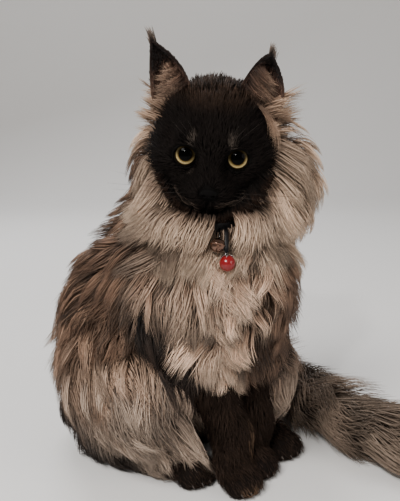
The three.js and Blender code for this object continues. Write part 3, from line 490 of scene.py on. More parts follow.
# Skin mesh
def surface_nets(field, low, high, step):
    """Points and four-sided faces where a field is 0, in a box of cells."""
    axes = [np.arange(a, b + step, step) for a, b in zip(low, high)]
    shape = tuple(len(a) for a in axes)
    values = np.full(shape, 1e3, np.float32)
    coarse = 4
    # evaluate blocks that the surface may cross
    for i in range(0, shape[0], 24):
        for j in range(0, shape[1], 24):
            for k in range(0, shape[2], 24):
                block = [a[x : x + 25] for a, x in zip(axes, (i, j, k))]
                probe = np.stack(np.meshgrid(*[b[::coarse] for b in block], indexing="ij"), -1)
                d = field(probe.reshape(-1, 3))
                reach = coarse * step * 1.8
                if d.min() > reach or d.max() < -reach:
                    values[i : i + 25, j : j + 25, k : k + 25] = d.min() if d.min() > 0 else d.max()
                    continue
                grid = np.stack(np.meshgrid(*block, indexing="ij"), -1)
                here = (slice(i, i + 25), slice(j, j + 25), slice(k, k + 25))
                values[here] = field(grid.reshape(-1, 3)).reshape(grid.shape[:3])
    cells = tuple(n - 1 for n in shape)
    total = np.zeros(cells + (3,), np.float32)
    count = np.zeros(cells, np.float32)
    crossings = []
    for axis in range(3):
        a = [slice(None)] * 3
        b = [slice(None)] * 3
        a[axis], b[axis] = slice(0, -1), slice(1, None)
        va, vb = values[tuple(a)], values[tuple(b)]
        cross = (va < 0) != (vb < 0)
        idx = np.argwhere(cross)
        x, y = va[cross], vb[cross]
        t = x / (x - y)
        point = idx.astype(np.float32)
        point[:, axis] += t
        others = [k for k in range(3) if k != axis]
        ok = np.ones(len(idx), bool)
        for o in others:
            ok &= (idx[:, o] > 0) & (idx[:, o] < shape[o] - 1)
        idx, point, x = idx[ok], point[ok], x[ok]
        quad = []
        for du, dv in ((0, 0), (1, 0), (1, 1), (0, 1)):
            cell = idx.copy()
            cell[:, others[0]] -= 1 - du
            cell[:, others[1]] -= 1 - dv
            np.add.at(total, tuple(cell.T), point)
            np.add.at(count, tuple(cell.T), 1)
            quad.append(cell)
        flip = (x < 0) if axis != 1 else (x >= 0)
        crossings.append((quad, flip))
    used = count > 0
    number = np.full(cells, -1)
    number[used] = np.arange(used.sum())
    points = total[used] / count[used][:, None]
    points = np.array(low) + points * step
    quads = []
    for quad, flip in crossings:
        q = np.stack([number[tuple(c.T)] for c in quad], -1)
        q[~flip] = q[~flip][:, ::-1]
        quads.append(q)
    return points.astype(float), np.concatenate(quads)


def settle(p, field, rounds=3, h=0.4):
    """Moves points onto the place where a field is 0."""
    for _ in range(rounds):
        d = np.zeros(len(p))
        n = np.zeros_like(p)
        for c in CORNERS:
            x = field(p + c * h)
            d += x / 4
            n += c * x[:, None]
        p = p - unit(n) * np.clip(d, -2, 2)[:, None] * 0.9
    return p


SKIN_STEP = 2.6
SKIN_BOX = v(-150, -85, -2), v(245, 215, 352)
points, quads = surface_nets(skin_field, *SKIN_BOX, SKIN_STEP)


def new_mesh(name, points, faces):
    mesh = bpy.data.meshes.new(name)
    mesh.from_pydata(to_scene(points).tolist(), [], [tuple(f) for f in faces])
    mesh.update()
    return mesh


def vertices_of(mesh):
    """A mesh's points in millimetres, in the photograph's frame."""
    co = np.empty(len(mesh.vertices) * 3)
    mesh.vertices.foreach_get("co", co)
    return co.reshape(-1, 3) * 1000 + SHIFT


def shade_smooth(mesh):
    for poly in mesh.polygons:
        poly.use_smooth = True


def add_object(name, data):
    obj = bpy.data.objects.new(name, data)
    bpy.context.scene.collection.objects.link(obj)
    return obj


def refine(mesh, places):
    """Splits the faces near each place, given as its centre and radius."""
    bm = bmesh.new()
    bm.from_mesh(mesh)
    for centre, radius in places:
        c, r = Vector(to_scene(centre)), radius / 1000
        edges = [e for e in bm.edges if all((vert.co - c).length < r for vert in e.verts)]
        bmesh.ops.subdivide_edges(bm, edges=edges, cuts=1, use_grid_fill=True)
    bm.to_mesh(mesh)
    bm.free()


skin_mesh = new_mesh("skin", points, quads)
refine(skin_mesh, [(in_head(0, 28, -8), 58), (eye_centre(1), 17), (eye_centre(-1), 17)])
co = settle(vertices_of(skin_mesh), skin_field)
co[:, 2] = np.maximum(co[:, 2], 0.4)
skin_mesh.vertices.foreach_set("co", to_scene(co).ravel())
skin_mesh.update()


# Ears
EAR_WALL = 1.5
EAR_TIP = {-1: v(-56, -15, 76), 1: v(41.5, -15, 71.5)}
TUFT_LEAN = {-1: v(-5, 0, 13), 1: v(1.5, 0, 10)}
EAR_INNER = {-1: (v(-19, -8, 36), v(-28, -12, 66)), 1: (v(16, -8, 39), v(30, -12, 73))}
EAR_OUTER = {-1: (v(-50, -8, 14), v(-58, -8, 42)), 1: (v(50, -8, 14), v(65, -8, 44))}


def ear_point(s, t, across, inward):
    """A point of an ear in the head's coordinates, over arrays of t and across."""
    t, across = np.broadcast_arrays(np.asarray(t, float), np.asarray(across, float))
    tt = t[..., None]

    def curve(a, b, c):
        return (1 - tt) ** 2 * a + 2 * tt * (1 - tt) * b + tt * tt * c

    inner = curve(*EAR_INNER[s], EAR_TIP[s])
    outer = curve(*EAR_OUTER[s], EAR_TIP[s])
    width = np.linalg.norm(outer - inner, axis=-1)
    widen = np.maximum(0.05, 1 + (-2 * EAR_WALL * inward) / np.maximum(width, 1e-3))
    u = (0.5 + (across - 0.5) * widen)[..., None]
    depth = 20 * (1 - t) ** 0.7 + 3 - EAR_WALL * inward
    p = inner + (outer - inner) * u
    p[..., 1] -= np.sin(np.pi * across) * depth
    return HEAD_CENTRE + p @ HEAD_AXES


def ear_mesh(s):
    rings, arc = 26, 18
    t = 0.985 * np.linspace(0, 1, rings) ** 0.85
    a = np.linspace(0, 1, arc)
    back = ear_point(s, t[:, None], a[None, :], 0)
    front = ear_point(s, t[:, None], a[None, ::-1], 1)
    grid = np.concatenate([back, front], 1)
    if s > 0:
        grid = grid[:, ::-1]
    n = grid.shape[1]
    pts = list(grid.reshape(-1, 3)) + [HEAD_CENTRE + (EAR_TIP[s] + v(0, 0, 1)) @ HEAD_AXES]
    faces = []
    for r in range(rings - 1):
        for i in range(n):
            j = (i + 1) % n
            faces.append((r * n + i, r * n + j, (r + 1) * n + j, (r + 1) * n + i))
    last = (rings - 1) * n
    for i in range(n):
        faces.append((last + i, last + (i + 1) % n, rings * n))
    return np.array(pts), faces


def colour(r, g, b):
    """A colour as it is seen on a screen, as light."""
    c = v(r, g, b) / 255
    return np.where(c <= 0.04045, c / 12.92, ((c + 0.055) / 1.055) ** 2.4)


# each row: root, middle and tip colour; most roots are darker than their middles as painted shade deep in the
# coat
PALETTE = {
    "ruff": (colour(60, 46, 38), colour(168, 143, 122), colour(208, 184, 161)),
    "chest": (colour(58, 43, 34), colour(172, 142, 120), colour(232, 206, 183)),
    "back": (colour(48, 36, 29), colour(108, 84, 68), colour(82, 62, 50)),
    "flank": (colour(58, 45, 36), colour(152, 124, 103), colour(128, 101, 83)),
    "thigh": (colour(66, 54, 46), colour(152, 133, 118), colour(186, 167, 150)),
    "heel": (colour(30, 24, 21), colour(50, 40, 34), colour(44, 35, 30)),
    "tail": (colour(70, 60, 52), colour(134, 117, 102), colour(104, 88, 76)),
    "leg": (colour(24, 18, 15), colour(31, 24, 20), colour(52, 40, 33)),
    "toe": (colour(46, 35, 28), colour(96, 75, 60), colour(150, 120, 96)),
    "face": (colour(9, 7, 6), colour(13, 10, 9), colour(22, 17, 15)),
    "jowl": (colour(9, 7, 6), colour(15, 11, 9), colour(46, 33, 26)),
    "cheek": (colour(15, 12, 10), colour(36, 28, 24), colour(86, 66, 54)),
    "crown": (colour(10, 8, 7), colour(21, 16, 13), colour(70, 53, 42)),
    "lip": (colour(40, 33, 29), colour(70, 59, 52), colour(108, 94, 84)),
    "brow": (colour(30, 26, 24), colour(52, 46, 42), colour(84, 75, 68)),
    "ear": (colour(30, 23, 21), colour(26, 20, 18), colour(22, 17, 15)),
    "cup": (colour(52, 36, 30), colour(80, 57, 47), colour(96, 70, 58)),
    "tuft": (colour(50, 40, 35), colour(84, 72, 64), colour(124, 110, 99)),
    "side": (colour(60, 46, 38), colour(150, 122, 101), colour(190, 163, 139)),
    "whisker": (colour(20, 17, 15), colour(44, 38, 34), colour(84, 76, 70)),
    "ear_hair": (colour(56, 40, 33), colour(112, 86, 71), colour(170, 144, 123)),
}


def hash_noise(p, scale, seed):
    """Smooth noise over points, from 0 to 1."""
    q = p / scale
    base = np.floor(q).astype(np.int64)
    f = q - base
    f = f * f * (3 - 2 * f)
    out = np.zeros(len(p))
    for step in ((x, y, z) for x in (0, 1) for y in (0, 1) for z in (0, 1)):
        c = base + step
        h = (c[:, 0] * 73856093) ^ (c[:, 1] * 19349663) ^ (c[:, 2] * 83492791) ^ (seed * 2654435761)
        h = (h ^ (h >> 13)) * 1274126177 & 0x7FFFFFFF
        r = (h ^ (h >> 16) & 0xFFFF) % 65536 / 65535.0
        w = np.prod(np.where(step, f, 1 - f), -1)
        out += w * r
    return out


RIGHT_PAW, RIGHT_WRIST = v(28.5, -49, 13), v(36, -38, 0)


def markings(p, group, tone):
    """Root, middle and tip colours of the coat at points of the skin, with each tuft's own tone."""
    n = len(p)
    f, l, u = body_coords(p).T
    hl, hf, hu = head_coords(p).T
    out = np.zeros((3, n, 3))
    wobble = (hash_noise(p, 30, 3) - 0.5) * 2
    patch = (hash_noise(p, 48, 9) - 0.5) * 2
    weights = {k: np.zeros(n) for k in PALETTE}
    torso = group == G["torso"]
    neck = group == G["neck"]
    head = group == G["head"]
    front = smooth(f + 14 * wobble, -82, -52)
    low_side = smooth(u + 16 * wobble, 200, 110)
    # the upper foreleg is black below the shoulder, and the hair between the forelegs too
    arm = np.zeros(n)
    for part in (arm_r, arm_l):
        t = np.clip((p - part.a) @ part.way / (part.way @ part.way), 0, 1)
        near = smooth(part.distance(p, 0.0), 12, 2)
        arm = np.maximum(arm, near * smooth(t + 0.1 * wobble, 0.12, 0.4))
    below = smooth(u + 12 * wobble, 188, 166) * smooth(np.abs(l - 3) + 5 * wobble, 16, 27)
    below = below * smooth(f, -84, -66)
    arm = np.maximum(arm, below)
    reach = np.interp(u, [105, 122, 138, 152], [18, 25, 36, 44])
    bib = smooth(np.abs(l - 3) - reach, 9, -5)
    arm = arm * (1 - bib * front)
    weights["leg"] += torso * arm
    rest = torso * (1 - arm)
    dusk = np.maximum(0.6 * smooth(3 - l + 8 * wobble, 34, 56), 0.95 * smooth(l + 5 * wobble, -5, 11))
    weights["chest"] += rest * front * (1 - dusk)
    weights["back"] += rest * (front * dusk + (1 - front) * (1 - 0.85 * low_side))
    weights["flank"] += rest * (1 - front) * 0.85 * low_side
    nape = smooth(f + 8 * wobble, -76, -98)
    # under the chin the ruff takes the cheek's dark brown: partly the chin's own dark hair, partly painted
    # shade under the head
    chin = neck * smooth(np.linalg.norm((head_coords(p) - v(0, 34, -50)) / v(1.6, 1, 1), axis=-1), 31, 14)
    weights["ruff"] += neck * (1 - nape) * (1 - chin) * 0.9
    weights["chest"] += neck * (1 - nape) * (1 - chin) * 0.1
    weights["back"] += neck * nape * (1 - chin)
    weights["cheek"] += chin
    # the mask ends along the cheeks and the jaw
    edge = smooth(np.hypot(hl / 46, (hu + 4) / 46) + 0.06 * wobble - 0.2 * smooth(hf, 0, 40), 0.9, 1.14)
    under = smooth(hu, -33, -42) * smooth(hf, 46, 34)
    edge = np.maximum(edge, under)
    rear = smooth(hf + 5 * wobble, -4, -24)
    top = smooth(hu, 24, 40)
    mask = head * (1 - rear)
    near_lips = np.min([near_line(p, line) for line in mouth_streaks], 0)
    lip = smooth(near_lips, 1.9, 0.7) * smooth(np.abs(hl), 3, 8)
    brow = np.zeros(n)
    at_head = np.stack([hl, hf, hu], -1)
    for s in (-1, 1):
        spot = np.linalg.norm((at_head - v(s * 14.5, 37, 13)) / v(4.2, 9, 6.5), axis=-1)
        brow = np.maximum(brow, smooth(spot, 1, 0.3) * 0.8)
    mark = np.linalg.norm((at_head - v(-14, 42, -13)) / v(3, 9, 2.4), axis=-1)
    brow = np.maximum(brow, smooth(mark, 1, 0.3) * 0.6)
    weights["lip"] += mask * lip
    weights["brow"] += mask * brow
    weights["face"] += mask * (1 - edge) * (1 - lip) * (1 - brow) * (1 - 0.8 * top)
    weights["crown"] += mask * (1 - edge) * 0.8 * top
    weights["cheek"] += mask * edge
    weights["crown"] += head * rear * top
    weights["side"] += head * rear * (1 - top) * 0.6
    weights["cheek"] += head * rear * (1 - top) * 0.4
    for k, name in enumerate(g.name for g in GROUPS):
        here = group == k
        if name.startswith(("leg", "paw", "hind")):
            tan = np.zeros(n)
            if name == "paw_r":
                ahead = (p - RIGHT_PAW) @ FORWARD
                tan = smooth(ahead + 3 * wobble, 13, 19) * smooth(p[:, 2], 17, 9) * 0.8
            if name == "leg_r":
                inner = (p - RIGHT_WRIST) @ LEFT
                tan = 0.7 * smooth(inner + 4 * wobble, -3, 6) * smooth(p[:, 2], 26, 46)
            weights["leg"] += here * (1 - tan)
            weights["toe"] += here * tan
        if name.startswith("thigh"):
            heel = smooth(u + 10 * wobble, 106, 76) * (name == "thigh_r")
            heel = heel * smooth(f + 8 * wobble + 0.6 * (u - 60), -98, -120)
            dark = 0.8 * smooth(u - 0.25 * f + 18 * wobble, 112, 152) * (1 - heel)
            weights["heel"] += here * heel
            weights["thigh"] += here * (1 - dark) * (1 - heel)
            weights["flank"] += here * dark
        if name == "tail":
            weights["tail"] += here
    total = sum(weights.values()) + 1e-9
    for k, w in weights.items():
        for i in range(3):
            out[i] += (w / total)[:, None] * PALETTE[k][i]
    # long streaks: whole locks are paler or darker than their neighbours
    long_coat = torso | neck | np.isin(group, [G["thigh_r"], G["thigh_l"], G["tail"]])
    streak = np.where(torso, 1.6, np.where(group == G["tail"], 0.9, 1.15))
    swing = 1 + (tone - 0.5) * streak + 0.16 * patch
    contrast = np.where(head, 0.4 + 1.2 * top, 1.0)
    shade = np.where(long_coat, swing, 1 + contrast * (tone - 0.5))[:, None]
    return out * np.clip(shade, 0.2, 1.9)


def group_of(p, share=0.0):
    return np.argmin([g.field(p, share) for g in GROUPS], 0)


# join the ears to the skin
pts, faces = [], []
for s in (-1, 1):
    p, fcs = ear_mesh(s)
    faces += [tuple(i + len(pts) for i in f) for f in fcs]
    pts += list(p)
bm = bmesh.new()
bm.from_mesh(skin_mesh)
ear_verts = [bm.verts.new(to_scene(p)) for p in pts]
bm.verts.ensure_lookup_table()
for f in faces:
    bm.faces.new([ear_verts[i] for i in f])
bmesh.ops.recalc_face_normals(bm, faces=bm.faces)
bm.to_mesh(skin_mesh)
bm.free()
shade_smooth(skin_mesh)
skin = add_object("skin", skin_mesh)


# Materials
def material(name):
    m = bpy.data.materials.new(name)
    m.use_nodes = True
    nodes, links = m.node_tree.nodes, m.node_tree.links
    shader = nodes["Principled BSDF"]
    return m, nodes, links, shader


def noise_node(nodes, links, scale, detail):
    """A fine noise in the object's own coordinates."""
    noise = nodes.new("ShaderNodeTexNoise")
    noise.inputs["Scale"].default_value = scale
    noise.inputs["Detail"].default_value = detail
    place = nodes.new("ShaderNodeTexCoord")
    links.new(place.outputs["Object"], noise.inputs["Vector"])
    return noise


def multiplied(nodes, links, a, b):
    """The product of two colours."""
    product = nodes.new("ShaderNodeMix")
    product.data_type = "RGBA"
    product.blend_type = "MULTIPLY"
    product.inputs["Factor"].default_value = 1
    links.new(a, product.inputs["A"])
    links.new(b, product.inputs["B"])
    return product.outputs["Result"]


def add_bump(nodes, links, shader, height, strength, distance):
    bump = nodes.new("ShaderNodeBump")
    bump.inputs["Strength"].default_value = strength
    bump.inputs["Distance"].default_value = distance
    links.new(height, bump.inputs["Height"])
    links.new(bump.outputs["Normal"], shader.inputs["Normal"])


def fur_material(name, roughness, bump, gloss=0.3):
    """Fur in the colours that its points carry, with a fine variation of shade."""
    m, nodes, links, shader = material(name)
    tone = nodes.new("ShaderNodeAttribute")
    tone.attribute_name = "tone"
    noise = noise_node(nodes, links, 420, 3)
    spread = nodes.new("ShaderNodeMapRange")
    spread.inputs["From Min"].default_value = 0.3
    spread.inputs["From Max"].default_value = 0.7
    spread.inputs["To Min"].default_value = 0.82
    spread.inputs["To Max"].default_value = 1.15
    links.new(noise.outputs["Fac"], spread.inputs["Value"])
    shade = multiplied(nodes, links, tone.outputs["Color"], spread.outputs["Result"])
    links.new(shade, shader.inputs["Base Color"])
    shader.inputs["Roughness"].default_value = roughness
    shader.inputs["Specular IOR Level"].default_value = gloss
    if bump:
        add_bump(nodes, links, shader, noise.outputs["Fac"], bump, 0.0006)
    return m


FUR = fur_material("fur", 0.62, 0)
DARK_FUR = fur_material("dark_fur", 0.7, 0, 0.07)
SKIN = fur_material("short_fur", 0.8, 0.6, 0.07)


def set_colour(mesh, name, values):
    """A colour for each point, under the name that a material reads."""
    layer = mesh.color_attributes.new(name, "FLOAT_COLOR", "POINT")
    rgba = np.ones((len(values), 4), np.float32)
    rgba[:, :3] = values
    layer.data.foreach_set("color", rgba.ravel())


co = vertices_of(skin_mesh)
skin_group = group_of(co)
# the skin takes the roots' colour darkened further: painted shade beneath the hair
skin_colour = markings(co, skin_group, np.full(len(co), 0.5))[0] * 0.7
n_ear = len(pts)
ear_skin = np.tile(PALETTE["ear"][0], (n_ear, 1))
cup = head_coords(co[-n_ear:])
ear_skin += (colour(78, 60, 51) - PALETTE["ear"][0]) * smooth(cup[:, 2], 62, 30)[:, None]
skin_colour[-n_ear:] = ear_skin
set_colour(skin_mesh, "tone", skin_colour)
skin_mesh.materials.append(SKIN)
FLESH = ["head", "neck", "chest", "back", "tail_1", "tail_2", "tail_3"]
for part in ("ear", "thigh", "hind_foot", "forepaw", "foreleg"):
    FLESH += [f"{part}_right", f"{part}_left"]
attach(skin, "root")
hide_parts(*FLESH)


# Tufts
# each tuft's width at its steps, as shares of its greatest
PROFILE = {
    2: [0.8, 1.0],
    3: [0.7, 1.0, 0.7],
    4: [0.6, 1.0, 0.9, 0.55],
    5: [0.5, 0.95, 1.0, 0.8, 0.45],
    6: [1.0, 0.95, 0.85, 0.7, 0.5, 0.3],
}


# the size of a tuft's patch on the unwrap, along it and to each side
PATCH_LONG, PATCH_SIDE = 0.003, 0.0012
LOWEST_HAIR = 0.3  # no hair comes nearer to the floor


def tuft_arrays(line, normal, width, flat, colours, uv):
    """Solid three-sided tufts. line is (steps + 1, n, 3)."""
    steps = len(line) - 1
    n = line.shape[1]
    verts, cols, uvs = [], [], []
    for i in range(steps):
        along = unit(line[i + 1] - line[max(i - 1, 0)])
        across = unit(np.cross(along, normal[i]))
        out = unit(np.cross(across, along))
        w = (width * PROFILE[steps][i] / 2)[:, None]
        t = w * 2 * flat
        foot = line[i] - out * t * 0.4
        verts += [foot + across * w, foot - across * w, line[i] + out * t * 0.6]
        cols += [colours(i / steps)] * 3
        for k in (-1, 1, 0):
            uvs.append(uv + np.array([k * PATCH_SIDE, (i / steps - 0.5) * PATCH_LONG]))
    verts.append(line[steps])
    cols.append(colours(1.0))
    uvs.append(uv + np.array([0, PATCH_LONG / 2]))
    verts = np.stack(verts, 1)
    cols = np.stack(cols, 1)
    uvs = np.stack(uvs, 1)
    per = 3 * steps + 1
    quads, tris = [], [(2, 1, 0)]
    for i in range(steps - 1):
        for k in range(3):
            a, b = 3 * i + k, 3 * i + (k + 1) % 3
            quads.append((a, b, b + 3, a + 3))
    for k in range(3):
        tris.append((3 * (steps - 1) + k, 3 * (steps - 1) + (k + 1) % 3, per - 1))
    base = (np.arange(n) * per)[:, None, None]
    quads, tris = (base + quads).reshape(-1, 4), (base + tris).reshape(-1, 3)
    return verts.reshape(-1, 3), cols.reshape(-1, 3), uvs.reshape(-1, 2), quads, tris


def coat_piece(name, parts, mat=None):
    """One mesh of many tufts, with a shade at each point and a place for each on the unwrap."""
    allv, allc, allu, loops, sizes = [], [], [], [], []
    count = 0
    for part in parts:
        vv, cc, uu, quads, tris = tuft_arrays(*part)
        allv.append(vv)
        allc.append(cc)
        allu.append(uu)
        loops += [(quads + count).ravel(), (tris + count).ravel()]
        sizes += [np.full(len(quads), 4), np.full(len(tris), 3)]
        count += len(vv)
    vv, cc, uu = np.concatenate(allv), np.concatenate(allc), np.concatenate(allu)
    vv[:, 2] = np.maximum(vv[:, 2], LOWEST_HAIR)
    loops, sizes = np.concatenate(loops), np.concatenate(sizes)
    mesh = bpy.data.meshes.new(name)
    mesh.vertices.add(len(vv))
    mesh.vertices.foreach_set("co", to_scene(vv).ravel())
    mesh.loops.add(len(loops))
    mesh.loops.foreach_set("vertex_index", loops.astype(np.int32))
    mesh.polygons.add(len(sizes))
    starts = np.concatenate([[0], np.cumsum(sizes)[:-1]])
    mesh.polygons.foreach_set("loop_start", starts.astype(np.int32))
    mesh.update(calc_edges=True)
    mesh.polygons.foreach_set("use_smooth", np.ones(len(sizes), bool))
    layer = mesh.uv_layers.new(name="OFBake")
    layer.data.foreach_set("uv", uu[loops].ravel().astype(np.float32))
    set_colour(mesh, "tone", cc)
    mesh.materials.append(mat or FUR)
    obj = add_object(name, mesh)
    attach(obj, "root")


def unwrap(p, a, b, seam):
    """Where points lie on a skin unrolled round a line: round it across, along it up, the ends as caps."""
    along = unit(b - a)
    length = np.linalg.norm(b - a)
    right = unit(seam - along * (seam @ along))
    front = np.cross(along, right)
    x, y, z = (p - a) @ right, (p - a) @ front, (p - a) @ along
    u = np.arctan2(y, x) / (2 * math.pi) + 0.5
    r = np.hypot(x, y)
    end = np.where(z < 0, -np.arctan2(-z, r), np.where(z > length, np.arctan2(z - length, r), 0))
    w = np.clip(z / length, 0, 1) * 0.5 + 0.25 + end / (math.pi / 2) * 0.22
    return np.stack([0.02 + 0.96 * u, w], -1)


def triangles_of(mesh):
    mesh.calc_loop_triangles()
    tri = np.empty(len(mesh.loop_triangles) * 3, np.int32)
    mesh.loop_triangles.foreach_get("vertices", tri)
    return tri.reshape(-1, 3)


tri = triangles_of(skin_mesh)
tri = tri[tri.max(1) < len(co) - n_ear]
corner = co[tri]
area = np.linalg.norm(np.cross(corner[:, 1] - corner[:, 0], corner[:, 2] - corner[:, 0]), axis=-1) / 2
tri_middle = corner.mean(1)
tri_group = group_of(tri_middle)


def roots_on(rng, mask, count, density=None):
    """Points spread over the chosen faces of the skin."""
    weight = area * mask
    if density is not None:
        weight = weight * density
    pick = rng.choice(len(area), count, p=weight / weight.sum())
    a, b = rng.random(count), rng.random(count)
    over = a + b > 1
    a[over], b[over] = 1 - a[over], 1 - b[over]
    c = corner[pick]
    return c[:, 0] + (c[:, 1] - c[:, 0]) * a[:, None] + (c[:, 2] - c[:, 0]) * b[:, None]


def lie_and_depth(p, share, groups, reach=12.0):
    """The way that the hair lies at points, and the depth of the coat there."""
    flesh = [f for g in groups for f in g.flesh]
    d = np.stack([f.distance(p, share * f.coat) for f in flesh])
    w = np.exp((d.min(0) - d) / reach)
    lie = np.tensordot(w.T, np.stack([f.lie for f in flesh]), 1)
    depth = (w.T @ np.array([f.coat for f in flesh], float)) / w.sum(0)
    return unit(lie), depth


LONG = [g for g in GROUPS if not g.short]


def parted(p, lie):
    """The chest's hair falls away from a parting down its middle, and the ruff's away from the chin."""
    f, l, u = body_coords(p).T
    chest = smooth(f, -80, -40) * smooth(u, 110, 150) * smooth(u, 250, 215)
    lie = lie + LEFT * (np.tanh((l - 4) / 16) * 0.42 * chest)[:, None]
    return unit(lie)


def comb(field, groups, roots, length, rise, turn, steps, power=0.75, wave=0.0, start=0.0):
    """Lines of hair from the skin out to the share of the coat that each rises to."""
    p = roots.copy()
    line, normals = [], []
    share = np.zeros(len(p)) + start
    d, n = level_and_normal(field, p, share)
    phase = 9 * hash_noise(roots, 26, 11)
    for i in range(steps + 1):
        t = i / steps
        share = start + (rise - start) * t**power
        if i:
            d, n = level_and_normal(field, p, share)
            p = p - n * d[:, None]
            p[:, 2] = np.maximum(p[:, 2], 0.8 + 2.5 * share)
        line.append(p.copy())
        normals.append(n.copy())
        lie, _ = lie_and_depth(p, share, groups)
        if groups is LONG:
            lie = parted(p, lie)
        way = unit(lie - n * np.sum(lie * n, -1, keepdims=True))
        swing = np.cross(n, way)
        a = (turn * (1 - 0.6 * t) + wave * np.sin(phase + 4.5 * t))[:, None]
        way = way * np.cos(a) + swing * np.sin(a)
        p = p + way * (length / steps)[:, None]
    line = np.array(line)
    if np.ndim(start) == 0 and start == 0:
        line[0] -= normals[0] * 1.2
    return line, np.array(normals)


def nearest(points, queries):
    """The number of the point that lies nearest to each query."""
    tree = kdtree.KDTree(len(points))
    for i, p in enumerate(points):
        tree.insert(p, i)
    tree.balance()
    return np.array([tree.find(q)[1] for q in queries])


def gather(line, clump_line, which, offset, hold):
    """Draws the tips of hairs together towards their lock's own line."""
    steps = len(line) - 1
    out = line.copy()
    for i in range(1, steps + 1):
        k = (hold * (i / steps) ** 1.3)[:, None]
        aim = clump_line[i][which] + offset * (1 - 0.85 * (i / steps))
        out[i] = line[i] * (1 - k) + aim * k
    return out


BELL, BEAD = from_box("bell"), from_box("bead")
BELL_AXIS = unit(v(2.2, 4.5, 8))
BEAD_AXIS = unit(v(-1.2, 7, 9))
STRAP_POINTS = [
    (20.4, -54.6, 232.5),
    (20.8, -62, 231),
    (21, -67.6, 224.5),
    (20.6, -70.8, 219),
    (20.4, -71.4, 215.4),
]


def clear_of_charms(line):
    """Which hairs leave the bell, the bead and the strap free, and the space in front of them."""
    ok = np.ones(line.shape[1], bool)
    ahead = v(0, -9, 0)
    spots = [(BELL, 7.6), (BELL + BELL_AXIS * 7, 4.2), (BEAD, 7.8), (BEAD + BEAD_AXIS * 7, 4.4)]
    spots += [(v(*q), 3.4) for q in STRAP_POINTS[1:]]
    for a, b in zip(line[:-1], line[1:]):
        for k in (0, 0.33, 0.67, 1):
            q = a + (b - a) * k
            for at, r in spots:
                t = np.clip((q - at) @ ahead / (ahead @ ahead), 0, 1)
                ok &= np.linalg.norm(q - at - t[:, None] * ahead, axis=-1) > r
    return ok


def three_shades(cols):
    """The colour along a tuft, from its root over its middle to its tip."""

    def colours(t):
        if t < 0.5:
            return cols[0] * (1 - 2 * t) + cols[1] * 2 * t
        return cols[1] * (2 - 2 * t) + cols[2] * (2 * t - 1)

    return colours


def long_coat(
    name, mask, count, seed, axis, length=1.9, width=1.05, steps=3, clump=12.0, hold=0.8, density=None,
    wave=0.25,
):
    """A piece of the long coat: hairs gathered into locks, a quarter of them short and lying low, painted
    darker as shade deep in the coat.
    """
    rng = np.random.default_rng(seed)

    def wild(*shape):
        return rng.normal(0, 1, shape)

    def sway(p):
        """Whole patches of the coat turn a little to one side."""
        return (hash_noise(p, 34, 5) - 0.5) * 1.4 + (hash_noise(p, 15, 6) - 0.5) * 0.7

    roots = roots_on(rng, mask, count, density)
    roots = roots[roots[:, 2] > 3]
    n = len(roots)
    n_clump = max(8, int(float((area * mask).sum()) / clump**2))
    seeds = roots_on(rng, mask, n_clump, density)
    seeds = seeds[seeds[:, 2] > 3]
    _, depth = lie_and_depth(seeds, 0.0, LONG, 6.0)
    at = body_coords(seeds)
    heel = smooth(at[:, 0], -120, -150) * smooth(seeds[:, 2], 78, 30)
    bib = smooth(at[:, 0], -80, -50) * smooth(seeds[:, 2], 150, 118) * (name == "coat_chest")
    low = 1 - 0.3 * heel - 0.35 * bib
    c_long = depth * length * low * rng.uniform(0.8, 1.2, len(seeds))
    c_rise = 0.68 + 0.5 * hash_noise(seeds, 20, 7) + 0.1 * wild(len(seeds))
    c_turn = sway(seeds) + 0.12 * wild(len(seeds))
    c_line, _ = comb(long_field, LONG, seeds, c_long, c_rise, c_turn, steps, wave=wave)
    c_tone = 0.5 + 1.1 * (hash_noise(seeds, 22, seed) - 0.5) + 0.2 * wild(len(seeds))
    which = nearest(seeds, roots)
    offset = roots - seeds[which]
    under = rng.random(n) < 0.25
    rise = np.where(under, rng.uniform(0.35, 0.7, n), c_rise[which] * rng.uniform(0.86, 1.06, n))
    long = np.where(under, 0.8, 1.0) * c_long[which] * rng.uniform(0.7, 1.12, n)
    turn = sway(roots) + 0.08 * wild(n)
    line, norm = comb(long_field, LONG, roots, long, rise, turn, steps, wave=wave)
    holds = hold * rng.uniform(0.4, 1.1, n) * np.where(under, 0.4, 1.0)
    line = gather(line, c_line, which, offset, np.clip(holds, 0, 0.93))
    bend = wild(n, 3) * 1.6
    for i in range(1, steps + 1):
        line[i] += bend * (i / steps) ** 2 + wild(n, 3) * 0.18
    line[:, :, 2] = np.maximum(line[:, :, 2], 0.8)
    ok = clear_of_charms(line)
    line, norm = line[:, ok], norm[:, ok]
    roots, which, under, n = roots[ok], which[ok], under[ok], int(ok.sum())
    tone = np.clip(c_tone[which] + wild(n) * 0.09, 0, 1.15)
    groups = group_of(roots)
    groups[groups == G["head"]] = G["neck"]
    # the low hairs are darkened: painted shade inside the coat
    cols = markings(roots, groups, tone) * np.where(under, 0.62, 1.0)[:, None]
    wide = width * rng.uniform(0.7, 1.3, n) * np.where(under, 1.5, 1.0)
    coat_piece(name, [(line, norm, wide, 0.45, three_shades(cols), unwrap(roots, *axis))])


